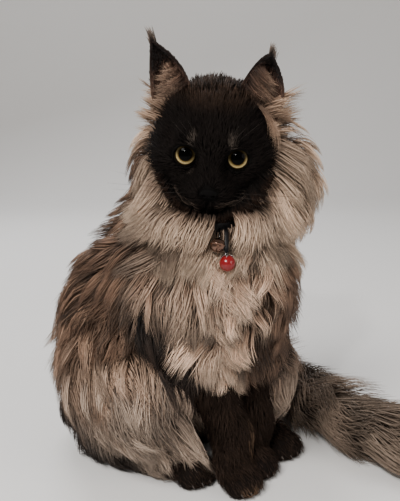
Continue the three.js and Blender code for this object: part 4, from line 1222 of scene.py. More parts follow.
def short_coat(
    name, mask, count, seed, axis, length=1.7, least=3.0, width=1.1, steps=2, density=None, keep=None,
    lift=1.0, wild=0.15,
):
    """A piece of the short coat: single hairs, shorter round the eyes."""
    rng = np.random.default_rng(seed)
    roots = roots_on(rng, mask, count, density)
    if keep is not None:
        roots = roots[keep(roots)]
    n = len(roots)
    _, depth = lie_and_depth(roots, 0.0, SHORT, 3.0)
    long = (least + depth * length) * rng.uniform(0.75, 1.2, n)
    for s in (-1, 1):
        away = np.linalg.norm(roots - eye_centre(s), axis=-1)
        long *= 0.45 + 0.55 * smooth(away, 12, 24)
    rise = rng.uniform(0.45, 1.0, n) * lift
    line, norm = comb(short_field, SHORT, roots, long, rise, rng.normal(0, wild, n), steps, 0.8)
    line[0] += norm[0] * 0.8
    line[1:] += rng.normal(0, 0.25, line[1:].shape)
    if keep is not None:
        ok = np.all([keep(q) for q in line[1:]], 0)
        roots, line, norm, depth = roots[ok], line[:, ok], norm[:, ok], depth[ok]
        n = len(roots)
    line[:, :, 2] = np.maximum(line[:, :, 2], 0.5)
    tone = np.clip(hash_noise(roots, 9, seed) + rng.normal(0, 0.15, n), 0, 1)
    cols = markings(roots, group_of(roots), tone)

    def colours(t):
        return cols[1] * (1 - t) + cols[2] * t

    wide = width * rng.uniform(0.7, 1.25, n) * (0.6 + 0.05 * np.minimum(depth, 12))
    coat_piece(name, [(line, norm, wide, 0.35, colours, unwrap(roots, *axis))], DARK_FUR)


is_group = {name: tri_group == k for name, k in G.items()}
in_trunk = body_coords(tri_middle)
in_face = head_coords(tri_middle)
tri_left = in_trunk[:, 1] > 4

# The long coat, piece by piece
spine = (in_body(-66, 2, 186), v(-80, 66, 80), FORWARD)
neck_axis = (in_body(-60, 4, 216), NAPE, BACK)
tail_axis = (tail_line[0], tail_line[-1], UP)
front_torso = is_group["torso"] & (in_trunk[:, 0] > -72)
rear_torso = is_group["torso"] & ~front_torso
throat = 1 + 2.2 * smooth(in_face[:, 1], -25, 0) * smooth(in_face[:, 2], -70, -45)

long_coat("coat_chest", front_torso, 9000, 21, spine, 2.0, clump=13.0, wave=0.45)
for name, half, count, seed in (("right", ~tri_left, 8000, 22), ("left", tri_left, 4000, 23)):
    here = rear_torso & half
    long_coat(f"coat_back_{name}", here, count, seed, spine, 2.3, clump=14.0, hold=0.85, wave=0.3)
for name, half, seed in (("right", ~tri_left, 24), ("left", tri_left, 25)):
    here = is_group["neck"] & half
    long_coat(f"coat_ruff_{name}", here, 8200, seed, neck_axis, 1.9, 1.0, hold=0.88, density=throat, wave=0.3)
for name, leg, count, seed in (("right", thigh_r, 6600, 26), ("left", thigh_l, 3200, 27)):
    axis = (leg[0].centre, leg[1].a + leg[1].way, UP)
    here = is_group["thigh_" + name[0]]
    long_coat(f"coat_thigh_{name}", here, count, seed, axis, 3.3, steps=4, clump=15.0, hold=0.85, wave=0.5)
long_coat("coat_tail", is_group["tail"], 7600, 28, tail_axis, 2.4, 0.85, clump=18.0, hold=0.6, wave=0.6)


def clear_of_eyes(p):
    """Which points leave the eyes, the lips and the nose free."""
    ok = np.ones(len(p), bool)
    for s in (-1, 1):
        ok &= ~((lid_opening(p, s) < 0.35) & (np.linalg.norm(p - eye_centre(s), axis=-1) < 24))
        ok &= near_line(p, lip_points[s]) > 1.2
    nose = head_coords(p) - v(0, 62, NOSE_HEIGHT)
    ok &= np.linalg.norm(nose / v(6.2, 9, 3.9), axis=-1) > 1
    return ok


# The short coat, piece by piece
head_axis = (in_head(0, -14, 5), in_head(0, 43, -22), HEAD_UP)
leg_axis = (in_body(-46, 0, 120), in_body(0, 0, 20), LEFT)
foot_axis = (in_body(-150, 0, 15), in_body(10, 0, 15), UP)
face_density = 1 + 2.5 * smooth(in_face[:, 1], 0, 35)
front_head = is_group["head"] & (in_face[:, 1] > 12)
rear_head = is_group["head"] & ~front_head & (in_face[:, 2] > -20)
hl, hf, hu = in_face.T
rim = is_group["head"] & (np.abs(hl) > 26) & (hf > -8) & (hf < 26) & (hu > -30) & (hu < 32)
legs = is_group["leg_r"] | is_group["leg_l"]
feet = is_group["paw_r"] | is_group["paw_l"] | is_group["hind_r"] | is_group["hind_l"]
free = {"keep": clear_of_eyes}

short_coat("coat_face", front_head, 12500, 31, head_axis, 1.5, 2.0, 0.75, density=face_density, **free)
short_coat("coat_crown", rear_head, 3500, 34, head_axis, 2.6, 4.0, 1.1, lift=1.15, **free)
# longer hair round the mask's edge stands over the ruff
short_coat("coat_mask_edge", rim, 1500, 35, head_axis, 1.3, 5.0, 0.9, 3, lift=1.7, wild=0.3, **free)
short_coat("coat_legs", legs, 4600, 32, leg_axis, 2.6, 7, 1.1, lift=1.25, wild=0.3)
short_coat("coat_feet", feet, 5000, 33, foot_axis, 1.3, 2.4, 0.9)


def tuft_set(line, out, width, cols, uv, flat=0.45):
    """Parts of a coat piece from lines, one way out for each hair."""
    return (line, np.repeat(out[None], len(line), 0), width, flat, three_shades(cols), uv)


def bezier(points, steps):
    """Lines through four control points, each an array of n points."""
    out = []
    for t in np.linspace(0, 1, steps + 1):
        k = ((1 - t) ** 3, 3 * t * (1 - t) ** 2, 3 * t * t * (1 - t), t**3)
        out.append(sum(w * p for w, p in zip(k, points)))
    return np.array(out)


def shades(name, n, tone):
    """Root, middle and tip colours of n hairs, from the palette's row of this name."""
    return [np.tile(PALETTE[name][i], (n, 1)) * (0.6 + 0.8 * tone)[:, None] for i in range(3)]


def lock_part(
    rng, at, each, radius, length, turn, rise, tone, wave, group=None, width=0.9, start=0.5, palette=None
):
    """Pointed locks over the coat: each place in at has some hairs, and below them hairs painted darker as
    the locks' shadow.
    """
    m = len(at)
    k = np.repeat(np.arange(m), each)
    n = len(k)
    start = np.zeros(m) + start
    d, out = level_and_normal(long_field, at, start)
    at = at - out * d[:, None]
    middle, _ = comb(long_field, LONG, at, length, rise, turn, 4, 0.6, wave, start)
    spread = rng.normal(0, 0.5, (n, 3)) * radius
    spread -= out[k] * np.sum(spread * out[k], -1, keepdims=True)
    roots = at[k] + spread
    dark = rng.random(n) < 0.25
    roots -= dark[:, None] * UP * radius * 0.7
    long = length[k] * rng.uniform(0.5, 1.08, n)
    high = np.where(dark, rise[k] * 0.8, rise[k] * rng.uniform(0.88, 1.05, n))
    line, norm = comb(long_field, LONG, roots, long, high, turn[k], 4, 0.6, wave, start[k])
    line = gather(line, middle, k, roots - at[k], np.where(dark, 0.55, 0.86) * rng.uniform(0.7, 1, n))
    ok = clear_of_charms(line)
    line, norm = line[:, ok], norm[:, ok]
    roots, k, dark, n = roots[ok], k[ok], dark[ok], int(ok.sum())
    shade = np.clip(tone[k] + rng.normal(0, 0.17, n), 0, 1.25)
    groups = group_of(roots) if group is None else np.full(n, G[group])
    # painted shadow: the hairs set below each lock are darkened, unless a palette replaces the colours
    cols = markings(roots, groups, shade) * np.where(dark, 0.4, 1.0)[:, None]
    if palette:
        cols = shades(palette, n, shade)
    return tuft_set(line, norm[1], width * rng.uniform(0.7, 1.2, n), list(cols), unwrap(roots, *spine))


def lock_set(rng, at, each, radius, length, turn, rise, tone, wave, **look):
    """Locks with a length, rise and tone drawn from ranges, and a turn given for each or drawn."""
    m = len(at)
    length = rng.uniform(*length, m)
    if isinstance(turn, tuple):
        turn = rng.normal(*turn, m)
    rise, tone = rng.uniform(*rise, m), rng.uniform(*tone, m)
    return lock_part(rng, at, each, radius, length, turn, rise, tone, wave, **look)


def half_coat(p):
    return long_field(p, 0.5)


def on_coat(l, f, u):
    """Places on the outside of the body, from points inside it, along rays out to the sides given."""
    start = in_body(-60, 2, 0)[None] + UP * np.reshape(u, (-1, 1))
    aim = unit(LEFT * np.reshape(l, (-1, 1)) + FORWARD * np.reshape(f, (-1, 1)))
    return cast(half_coat, start, aim, 130)


def ruff_locks(rng, m=46):
    turn = np.linspace(-2.3, 2.3, m) + rng.normal(0, 0.08, m)
    across, ahead = np.sin(turn)[:, None], np.cos(turn)[:, None]
    start = in_head(0, -4, -30) - HEAD_FORWARD * (24 * ahead)
    aim = HEAD_LEFT * across - HEAD_UP * 0.8 * ahead + HEAD_FORWARD * 0.55 * ahead
    at = cast(half_coat, start, unit(aim))
    at -= UP * rng.uniform(0, 16, (m, 1))
    part_turn = 0.5 * np.sin(turn) + rng.normal(0, 0.25, m)
    look = {"group": "neck", "width": 1.0}
    return lock_set(rng, at, 28, 5.0, (28, 44), part_turn, (1.0, 1.32), (0.5, 1.1), 0.3, **look)


def chest_locks(rng, m=56):
    l, u = rng.uniform(-0.9, 0.75, m), rng.uniform(134, 214, m)
    at = on_coat(l, np.ones(m), u)
    part_turn = -1.0 * np.tanh((l + 0.05) * 3) + rng.normal(0, 0.22, m)
    return lock_set(rng, at, 36, 4.8, (26, 40), part_turn, (0.92, 1.12), (0.3, 1.0), 0.7, width=0.6)


def flank_locks(rng, m=64):
    f, u = rng.uniform(-1.6, 0.25, m), rng.uniform(95, 215, m)
    at = on_coat(-np.ones(m), f, u)
    return lock_set(rng, at, 28, 5.5, (34, 54), (0, 0.3), (0.95, 1.2), (0.05, 1.05), 0.35)


def heel_locks(rng, m=26):
    """Spiky hair behind the right heel."""
    l, u = -rng.uniform(0.35, 1.3, m), rng.uniform(18, 62, m)
    at = on_coat(l, -np.ones(m), u)
    return lock_set(rng, at, 24, 4.5, (24, 38), (-0.25, 0.3), (1.0, 1.3), (0.2, 1), 0.3, palette="heel")


def knee_hair(rng, locks=30, each=34):
    """The right knee's hair, which hangs over the hind foot."""
    n = locks * each
    k = np.repeat(np.arange(locks), each)
    place = np.linspace(0, 1, locks)

    def along(a, b):
        return np.interp(place, [0, 1], [a, b])[:, None]

    aim = FORWARD * along(0.1, 1.0) - LEFT * along(1.0, -0.2)
    aim = aim + UP * rng.uniform(-0.75, 0.15, (locks, 1))
    at = cast(lambda q: long_field(q, 0.6), np.tile(in_body(-74, -60, 78), (locks, 1)), unit(aim))
    tip = in_body(0, 0, 0) + FORWARD * along(-78, -30) + LEFT * along(-70, -24)
    tip = tip + UP * rng.uniform(9, 26, (locks, 1)) + rng.normal(0, 2.5, (locks, 3))
    root = at[k] + rng.normal(0, 3.2, (n, 3))
    _, out = level_and_normal(long_field, root, np.full(n, 0.6))
    end = tip[k] + rng.normal(0, 2.2, (n, 3)) + (root - tip[k]) * (0.3 * rng.random(n) ** 2)[:, None]
    way = end - root
    line = bezier([root, root + way * 0.3 + out * 7, root + way * 0.68 + out * 5, end], 4)
    for i in range(5):
        d, up = level_and_normal(short_field, line[i], np.ones(n))
        line[i] += up * np.clip(3.5 - d, 0, 8)[:, None]
    tone = np.clip(rng.uniform(0.35, 1.0, locks)[k] + rng.normal(0, 0.14, n), 0.1, 1.2)
    width = rng.uniform(0.5, 1.0, n)
    cols = markings(root, np.full(n, G["thigh_r"]), tone)
    return tuft_set(line, out, width, list(cols), unwrap(root, *spine))


# where the black hair of the lower cheeks and the chin starts, in the head's coordinates, and its lengths
RIM = {
    -1: [(-40, 38, -15), (-32, 44, -23), (-19, 54, -31), (-8, 57, -38), (0, 55, -43)],
    1: [(46, 35, -9), (36, 45, -15), (24, 52, -27), (11, 56, -37), (0, 55, -43)],
}
JOWL_LENGTHS = {-1: [4, 7, 8, 5], 1: [8, 16, 11, 5]}


def level_of(p):
    """The share of the coat's depth at which points lie."""
    low, high = np.zeros(len(p)), np.full(len(p), 1.3)
    for _ in range(12):
        middle = (low + high) / 2
        inside = long_field(p, middle) < 0
        low, high = np.where(inside, low, middle), np.where(inside, middle, high)
    return high


def from_head(p):
    return HEAD_CENTRE + p @ HEAD_AXES


def jowl_locks(rng, s, m=34):
    """The black hair of one lower cheek, which lies over the ruff."""
    at = from_head(centripetal(RIM[s], m - 1))
    far = np.interp(np.linspace(0, 1, m), [0, 0.3, 0.7, 1], JOWL_LENGTHS[s])
    turn = rng.normal(0, 0.2, m)
    first = level_of(at)
    length, tone = far * rng.uniform(0.75, 1.2, m), rng.uniform(0.1, 0.9, m)
    return lock_part(rng, at, 26, 3.4, length, turn, first + 0.22, tone, 0.2, "head", 0.75, first, "jowl")


rng = np.random.default_rng(51)
lock_parts = [ruff_locks(rng), chest_locks(rng), flank_locks(rng)]
knee_part = knee_hair(rng)
lock_parts.append(heel_locks(rng))
jowls = [jowl_locks(rng, s) for s in (-1, 1)]

COLLAR_CENTRE = v(12, -6, 246)
COLLAR_WIDE, COLLAR_DEEP, COLLAR_DROP = 42, 47, 15


def collar_veil(rng, n=2000):
    """Hair of the ruff that falls over the collar, parted where the bell hangs."""
    turn = rng.uniform(-math.pi, math.pi, n)
    front = np.abs(np.sin(turn) * COLLAR_WIDE - 7) < 6
    turn = turn[~(front & (np.cos(turn) > 0))]
    n = len(turn)
    away = rng.uniform(1.05, 1.14, n)
    height = -np.cos(turn) * COLLAR_DROP + rng.uniform(5, 13, n)
    root = np.stack([np.sin(turn) * COLLAR_WIDE * away, -np.cos(turn) * COLLAR_DEEP * away, height], -1)
    root += COLLAR_CENTRE
    tone = np.clip(hash_noise(root, 14, 8) * 1.3 - 0.15 + rng.normal(0, 0.1, n), 0, 1.1)
    length, rise, bend = rng.uniform(20, 34, n), rng.uniform(0.75, 1.1, n), rng.normal(0, 0.2, n)
    line, norm = comb(long_field, LONG, root, length, rise, bend, 3, 0.75, 0.25, 0.5)
    ok = clear_of_charms(line)
    line, norm, root, tone, n = line[:, ok], norm[:, ok], root[ok], tone[ok], int(ok.sum())
    cols = list(markings(root, np.full(n, G["neck"]), tone))
    return tuft_set(line, norm[1], rng.uniform(0.8, 1.4, n), cols, unwrap(root, *neck_axis))


LIPS = {
    -1: [(-3, 61.5, -33), (-9, 61.5, -32.5), (-16, 61.5, -30), (-22, 61, -26.5), (-28, 57, -21)],
    1: [(3, 61.5, -33), (9, 61.5, -32.5), (16, 61, -30), (24, 62, -26), (31, 60, -20)],
}


def lip_hairs(rng, s, n=34):
    """Thin pale hairs that follow one side of the lips."""
    path = centripetal(LIPS[s], 40)
    first = rng.uniform(2, 30, n)
    shift = rng.normal(0, 1, (n, 3)) * v(0.6, 0.4, 1.5) + v(0, 0.9, 3.4)
    line = []
    for i in range(4):
        k = first + 3.2 * i
        spot = np.stack([np.interp(k, np.arange(41), path[:, j]) for j in range(3)], -1)
        line.append(from_head(spot + shift + v(0, 0, 0.35 * i)))
    width = rng.uniform(0.16, 0.3, n)
    cols = shades("lip", n, rng.random(n) - 0.45)
    return tuft_set(np.array(line), np.tile(HEAD_FORWARD, (n, 1)), width, cols, unwrap(line[0], *head_axis))


rng = np.random.default_rng(36)
coat_piece("coat_collar_veil", [collar_veil(rng)])
coat_piece("coat_knee", [knee_part])
coat_piece("coat_lips", [lip_hairs(rng, s) for s in (-1, 1)], DARK_FUR)
coat_piece("coat_locks", lock_parts)
coat_piece("coat_jowls", jowls, DARK_FUR)


def ear_uv(s, t, u, shift):
    return np.stack([0.03 + 0.2 * u + (0.25 if s > 0 else 0) + 0.5 * shift, 0.05 + 0.9 * t], -1)


def ear_fur(s, rng, inward, n):
    """Short fur on the back of an ear, or in its cup."""
    t, u = rng.random(n) ** 1.3 * 0.96, rng.uniform(0.02, 0.98, n)
    if inward:
        t = 0.02 + 0.9 * rng.random(n)
    a = ear_point(s, t, u, inward)
    ahead, behind = np.minimum(u + 0.02, 1), np.maximum(u - 0.02, 0)
    du = ear_point(s, t, ahead, inward) - ear_point(s, t, behind, inward)
    dt = ear_point(s, np.minimum(t + 0.03, 1), u, inward) - a
    out = unit(np.cross(du, dt)) * (-s if inward else s) * -1
    way = unit(unit(dt) + unit(du) * rng.normal(0, 0.25, (n, 1)))
    long = rng.uniform(5, 9, n)[:, None] * (1 - 0.75 * t)[:, None]
    bow = ((0, -0.4), (0.35, 0.7), (0.7, 0.9), (1, 0.4))
    spots = [a + way * long * along + out * off for along, off in bow]
    cols = shades("ear", n, rng.random(n))
    if inward:
        pale = smooth(t + rng.normal(0, 0.07, n), 0.62, 0.34)[:, None]
        cols = [a0 + (b0 - a0) * pale for a0, b0 in zip(cols, shades("cup", n, rng.random(n)))]
    return tuft_set(bezier(spots, 2), out, rng.uniform(0.7, 1.2, n), cols, ear_uv(s, t, u, 0), 0.35)


def ear_wisps(s, rng, locks=34, each=14):
    """Long wisps from the inner edge, across the cup and over its outer edge, in locks."""
    n = locks * each
    k = np.repeat(np.arange(locks), each)
    fade = np.linspace(1, 0, locks)
    t_root = np.linspace(0.0, 0.52, locks)[k] + rng.normal(0, 0.03, n)
    t = np.clip(t_root, 0, 0.6)
    u = np.clip(rng.uniform(0.0, 0.22, locks)[k] + rng.normal(0, 0.03, n), 0, 1)
    root = ear_point(s, t, u, 1)
    edge0, edge1 = ear_point(s, t, 0.0, 0), ear_point(s, t, 1.0, 0)
    far = (rng.uniform(0.5, 1.0, locks) + 0.28 * rng.random(locks) * fade)[k]
    far = (0.15 + (far - 0.15) * (1 - 0.5 * rng.random(n) ** 2))[:, None]
    lift = rng.uniform(-3, 13, locks) * np.linspace(1, 0.4, locks) + (3 if s < 0 else -9) * fade
    end = edge0 + (edge1 - edge0) * far + HEAD_UP * (lift[k] + rng.normal(0, 0.9, n))[:, None]
    end += HEAD_FORWARD * (rng.uniform(-2, 4, locks)[k] + rng.normal(0, 0.5, n))[:, None]
    rise = rng.uniform(1, 6, locks)[k][:, None] + rng.normal(0, 0.5, (n, 1))
    mid1 = root + (end - root) * 0.3 + HEAD_FORWARD * rise - HEAD_UP * 2
    mid2 = root + (end - root) * 0.7 + HEAD_FORWARD * rise * 1.1 - HEAD_UP * 4
    tone = np.clip(rng.random(locks)[k] * 1.2 - 0.3 + rng.normal(0, 0.25, n), -0.3, 1.1)
    line = bezier([root, mid1, mid2, end], 4)
    width = rng.uniform(0.22, 0.45, n)
    out = np.tile(HEAD_FORWARD, (n, 1))
    return tuft_set(line, out, width, shades("ear_hair", n, tone), ear_uv(s, t, u, 1))


def ear_tip_tuft(s, rng, n=60):
    """The thin tuft at the tip of an ear."""
    t, u = rng.uniform(0.88, 0.99, n), rng.random(n)
    root = ear_point(s, t, u, 0)
    lean = (np.tile(TUFT_LEAN[s], (n, 1)) + rng.normal(0, 0.9, (n, 3))) @ HEAD_AXES
    long = rng.uniform(0.45, 1.1, n)[:, None]
    spread = rng.normal(0, 0.5, (n, 3)) @ HEAD_AXES
    reach = lean * long
    spots = [root - lean * 0.1, root + reach * 0.35, root + reach * 0.7 + spread, root + reach + 2 * spread]
    cols = shades("tuft", n, rng.random(n))
    width = rng.uniform(0.35, 0.7, n)
    return tuft_set(bezier(spots, 3), np.tile(HEAD_FORWARD, (n, 1)), width, cols, ear_uv(s, t, u, 1))


def ear_side_locks(s, rng, locks=80, each=15):
    """The tan hair that stands out below and behind an ear, in pointed locks."""
    n = locks * each
    k = np.repeat(np.arange(locks), each)
    low, high = (36, -26, -34), (44, 0, 30)
    spot = np.stack([rng.uniform(a, b, locks) for a, b in zip(low, high)], -1)[k] * v(s, 1, 1)
    root = from_head(spot + rng.normal(0, 1.6, (n, 3)))
    out = unit(root - HEAD_CENTRE)
    up = np.interp(spot[:, 2], [-34, 26], [-0.7, 0.55])[:, None] + rng.normal(0, 0.12, locks)[k][:, None]
    back = rng.uniform(0.0, 0.5, locks)[k][:, None]
    way = unit(side(s) + BACKWARD * back + HEAD_UP * (up + rng.normal(0, 0.06, (n, 1))))
    long = (rng.uniform(15, 28 if s < 0 else 40, locks)[k] * rng.uniform(0.75, 1.1, n))[:, None]
    inward = from_head(spot) - root
    sag = HEAD_UP * -rng.uniform(0, 4, locks)[k][:, None]
    reach = way * long
    end = root + reach + sag + inward * 0.9
    line = bezier([root - out * 3, root + reach * 0.35, root + reach * 0.7 + inward * 0.5, end], 3)
    tone = np.clip(rng.random(locks)[k] + rng.normal(0, 0.12, n), 0, 1)
    width = rng.uniform(0.6, 1.0, n)
    return tuft_set(line, out, width, shades("side", n, tone), ear_uv(s, rng.random(n), rng.random(n), 0.5))


def pale_strand(rng, n=70):
    """The strand that falls from the left ear's inner edge, outside the eye, to the cheek."""
    spread = rng.normal(0, 1, (n, 3)) * 1.6
    path = [v(33, 4, 37), v(46, 16, 32), v(56, 18, 14), v(53, 16, -3)]
    hang = rng.uniform(0.7, 1.05, n)[:, None]
    spots = [path[0] + (q - path[0]) * hang + spread * (0.5 + 0.3 * i) for i, q in enumerate(path)]
    cols = shades("side", n, rng.uniform(0.3, 0.9, n))
    uv = np.stack([0.55 + 0.1 * rng.random(n), 0.1 + 0.1 * rng.random(n)], -1)
    width = rng.uniform(0.25, 0.45, n)
    return tuft_set(bezier([from_head(q) for q in spots], 5), np.tile(side(1), (n, 1)), width, cols, uv)


def crown_hair(rng, n=620):
    """Streaky hair that stands up on the crown between the ears."""
    spot = np.stack([rng.uniform(-24, 22, n), rng.uniform(-22, 14, n), np.full(n, 36.0)], -1)
    aim = unit(spot @ HEAD_AXES)
    root = cast(bare_head, np.tile(in_head(0, -6, 8), (n, 1)), aim)
    lock = hash_noise(root, 6, 5) - 0.5
    lean = BACKWARD * rng.uniform(0.9, 1.7, (n, 1)) + HEAD_LEFT * (lock * 1.4)[:, None]
    way = unit(aim + lean + rng.normal(0, 0.1, (n, 3)) @ HEAD_AXES)
    reach = way * (rng.uniform(8, 13, n) + 8 * lock)[:, None]
    spots = [root - aim * 2, root + reach * 0.4 + aim * 1.5, root + reach * 0.7 + aim * 1.5, root + reach]
    tone = np.clip(hash_noise(root, 7, 3) * 2.4 - 0.9 + rng.normal(0, 0.15, n), -0.5, 1.2)
    uv = np.stack([0.7 + 0.1 * rng.random(n), 0.3 + 0.1 * rng.random(n)], -1)
    return tuft_set(bezier(spots, 3), aim, rng.uniform(0.5, 0.9, n), shades("crown", n, tone), uv)


ear_parts = []
for s in (-1, 1):
    rng = np.random.default_rng(40 + s)
    ear_parts += [ear_fur(s, rng, inward, n) for inward, n in ((0, 1050), (1, 780))]
    ear_parts += [ear_wisps(s, rng), ear_tip_tuft(s, rng), ear_side_locks(s, rng)]
rng = np.random.default_rng(43)
ear_parts.append(pale_strand(rng))
coat_piece("coat_crown_top", [crown_hair(rng)], DARK_FUR)
coat_piece("coat_ears", ear_parts)


def whisker_set(s, rng):
    """Whiskers of one side of the muzzle, and the few over the eye."""
    lines, outs, widths = [], [], []
    for row in range(3):
        for k in range(3):
            x, z = 10 + 3.2 * k + 0.8 * row, -21.5 - 2.8 * row
            start = in_head(s * x * 0.6, 34, z)
            aim = unit(in_head(s * (x + 6), 62 - 0.8 * x, z) - start)
            root = cast(bare_head, start[None], aim[None])[0]
            ahead, above = HEAD_FORWARD * (0.45 - 0.2 * k), HEAD_UP * (0.18 - 0.13 * row)
            way = unit(side(s) * (1 + 0.1 * k) + ahead + above)
            long = 44 + 12 * k + rng.uniform(-8, 8)
            droop = -HEAD_UP * long * rng.uniform(0.02, 0.12) + BACKWARD * long * 0.15
            bow = [way * long * 0.35, way * long * 0.7 + droop * 0.4, way * long + droop]
            lines.append(bezier([root - aim] + [root + b for b in bow], 6))
            outs.append(HEAD_UP)
            widths.append(0.2)
    for k in range(3):
        start = in_head(s * (12 + 3 * k), 10, 6)
        aim = unit(in_head(s * (13 + 3.5 * k), 40, 18) - start)
        root = cast(bare_head, start[None], aim[None])[0]
        way = unit(side(s) * (0.3 + 0.2 * k) + HEAD_UP * 1.0 + HEAD_FORWARD * 0.5)
        long = 22 + rng.uniform(-4, 6)
        end = root + way * long + BACKWARD * 6 + side(s) * 3
        lines.append(bezier([root, root + way * long * 0.4, root + way * long * 0.75, end], 6))
        outs.append(HEAD_FORWARD)
        widths.append(0.22)
    return np.stack(lines, 1), np.array(outs), np.array(widths)


whisker_parts = []
for s in (-1, 1):
    rng = np.random.default_rng(60 + s)
    line, out, wide = whisker_set(s, rng)
    n = len(wide)
    uv = np.stack([0.2 + 0.6 * rng.random(n), 0.2 + 0.6 * rng.random(n)], -1)
    whisker_parts.append(tuft_set(line, out, wide, shades("whisker", n, rng.random(n)), uv, 0.9))
coat_piece("whiskers", whisker_parts)


# Eyes
def eye_material():
    m, nodes, links, shader = material("eye")
    place = nodes.new("ShaderNodeAttribute")
    place.attribute_name = "gaze"
    ramp = nodes.new("ShaderNodeValToRGB")
    ramp.color_ramp.interpolation = "LINEAR"
    e = ramp.color_ramp.elements
    e[0].position, e[0].color = 0.0, (0.002, 0.002, 0.002, 1)
    e[1].position, e[1].color = 1.0, (0.01, 0.008, 0.006, 1)
    for pos, col in (
        (0.58, (0.002, 0.002, 0.002)),
        (0.62, colour(84, 64, 30)),
        (0.71, colour(160, 136, 84)),
        (0.84, colour(204, 184, 132)),
        (0.9, colour(128, 104, 62)),
        (0.95, colour(14, 10, 7)),
    ):
        x = e.new(pos)
        x.color = (*[float(c) for c in col], 1)
    noise = noise_node(nodes, links, 900, 4)
    add = nodes.new("ShaderNodeMath")
    add.operation = "MULTIPLY_ADD"
    add.inputs[1].default_value = 0.05
    links.new(noise.outputs["Fac"], add.inputs[0])
    links.new(place.outputs["Fac"], add.inputs[2])
    links.new(add.outputs["Value"], ramp.inputs["Fac"])
    # the iris's streaks and the upper lid's painted shadow, carried on the eyeball's points
    iris_streaks_and_lid_shadow = nodes.new("ShaderNodeAttribute")
    iris_streaks_and_lid_shadow.attribute_name = "iris_streaks_and_lid_shadow"
    dim = multiplied(nodes, links, ramp.outputs["Color"], iris_streaks_and_lid_shadow.outputs["Color"])
    links.new(dim, shader.inputs["Base Color"])
    shader.inputs["Roughness"].default_value = 0.6
    shader.inputs["Specular IOR Level"].default_value = 0.0
    shader.inputs["Coat Weight"].default_value = 0.07
    shader.inputs["Coat Roughness"].default_value = 0.02
    return m


EYE = eye_material()
GAZE = unit(CAMERA_PLACE - (eye_centre(1) + eye_centre(-1)) / 2)
GAZE_REACH = 0.88  # the angle from the pupil's middle at which the iris has ended


def eyeball(s, name):
    """An eye that looks at the viewer, its iris streaked, with the upper lid's shadow painted over its top.
    """
    bm = bmesh.new()
    bmesh.ops.create_uvsphere(bm, u_segments=160, v_segments=100, radius=EYE_RADIUS - 0.1)
    gaze = unit(GAZE + side(s) * 0.02)
    turn = Vector(gaze).to_track_quat("Z", "Y").to_matrix()
    for vert in bm.verts:
        vert.co = turn @ vert.co
    mesh = bpy.data.meshes.new(f"eyeball_{name}")
    bm.to_mesh(mesh)
    bm.free()
    p = np.array([x.co for x in mesh.vertices])
    angle = np.arccos(np.clip(unit(p) @ gaze, -1, 1))
    layer = mesh.attributes.new("gaze", "FLOAT", "POINT")
    layer.data.foreach_set("value", (angle / GAZE_REACH).astype(np.float32))
    across, up, _ = eye_axes(s)
    round_pupil = np.arctan2(p @ up, p @ across)
    streaks = 0.86 + 0.14 * np.sin(round_pupil * 37 + 3 * np.sin(round_pupil * 11))
    height = (unit(p) @ up) / 0.7
    # painted shadow of the upper lid: the iris darkens towards its top, times its own streaks
    shade = streaks * (0.05 + 1.0 * smooth(height, 0.5, -0.7))
    set_colour(mesh, "iris_streaks_and_lid_shadow", shade[:, None])
    mesh.transform(Matrix.Scale(0.001, 4))
    mesh.transform(Matrix.Translation(Vector(to_scene(eye_centre(s)))))
    shade_smooth(mesh)
    mesh.materials.append(EYE)
    ball = add_object(f"eyeball_{name}", mesh)
    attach(ball, "root")
    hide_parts(f"eye_{name}")


eyeball(-1, "right")
eyeball(1, "left")


# Nose
def object_of(bm, name, mat, nodes):
    """Turns a bmesh in millimetres into a piece that stands for CAD nodes."""
    for vert in bm.verts:
        vert.co = Vector(to_scene(v(*vert.co)))
    mesh = bpy.data.meshes.new(name)
    bmesh.ops.recalc_face_normals(bm, faces=bm.faces)
    bm.to_mesh(mesh)
    bm.free()
    shade_smooth(mesh)
    mesh.materials.append(mat)
    obj = add_object(name, mesh)
    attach(obj, "root")
    if nodes:
        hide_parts(*nodes)


def grained(name, base, roughness, scale, bump, metal=0.0, coat=0.0, spread=0.15, gloss=0.5):
    """A material with a fine grain: its colour, gloss and height vary together."""
    m, nodes, links, shader = material(name)
    noise = noise_node(nodes, links, scale, 5)
    ramp = nodes.new("ShaderNodeValToRGB")
    for stop, place, lift in zip(ramp.color_ramp.elements, (0.3, 0.7), (1 - spread, 1 + spread)):
        stop.position = place
        stop.color = (*[float(c) * lift for c in base], 1)
    links.new(noise.outputs["Fac"], ramp.inputs["Fac"])
    links.new(ramp.outputs["Color"], shader.inputs["Base Color"])
    rough = nodes.new("ShaderNodeMapRange")
    rough.inputs["To Min"].default_value = roughness * 0.8
    rough.inputs["To Max"].default_value = min(1, roughness * 1.25)
    links.new(noise.outputs["Fac"], rough.inputs["Value"])
    links.new(rough.outputs["Result"], shader.inputs["Roughness"])
    shader.inputs["Metallic"].default_value = metal
    shader.inputs["Specular IOR Level"].default_value = gloss
    shader.inputs["Coat Weight"].default_value = coat
    shader.inputs["Coat Roughness"].default_value = 0.04
    add_bump(nodes, links, shader, noise.outputs["Fac"], bump, 0.0003)
    return m


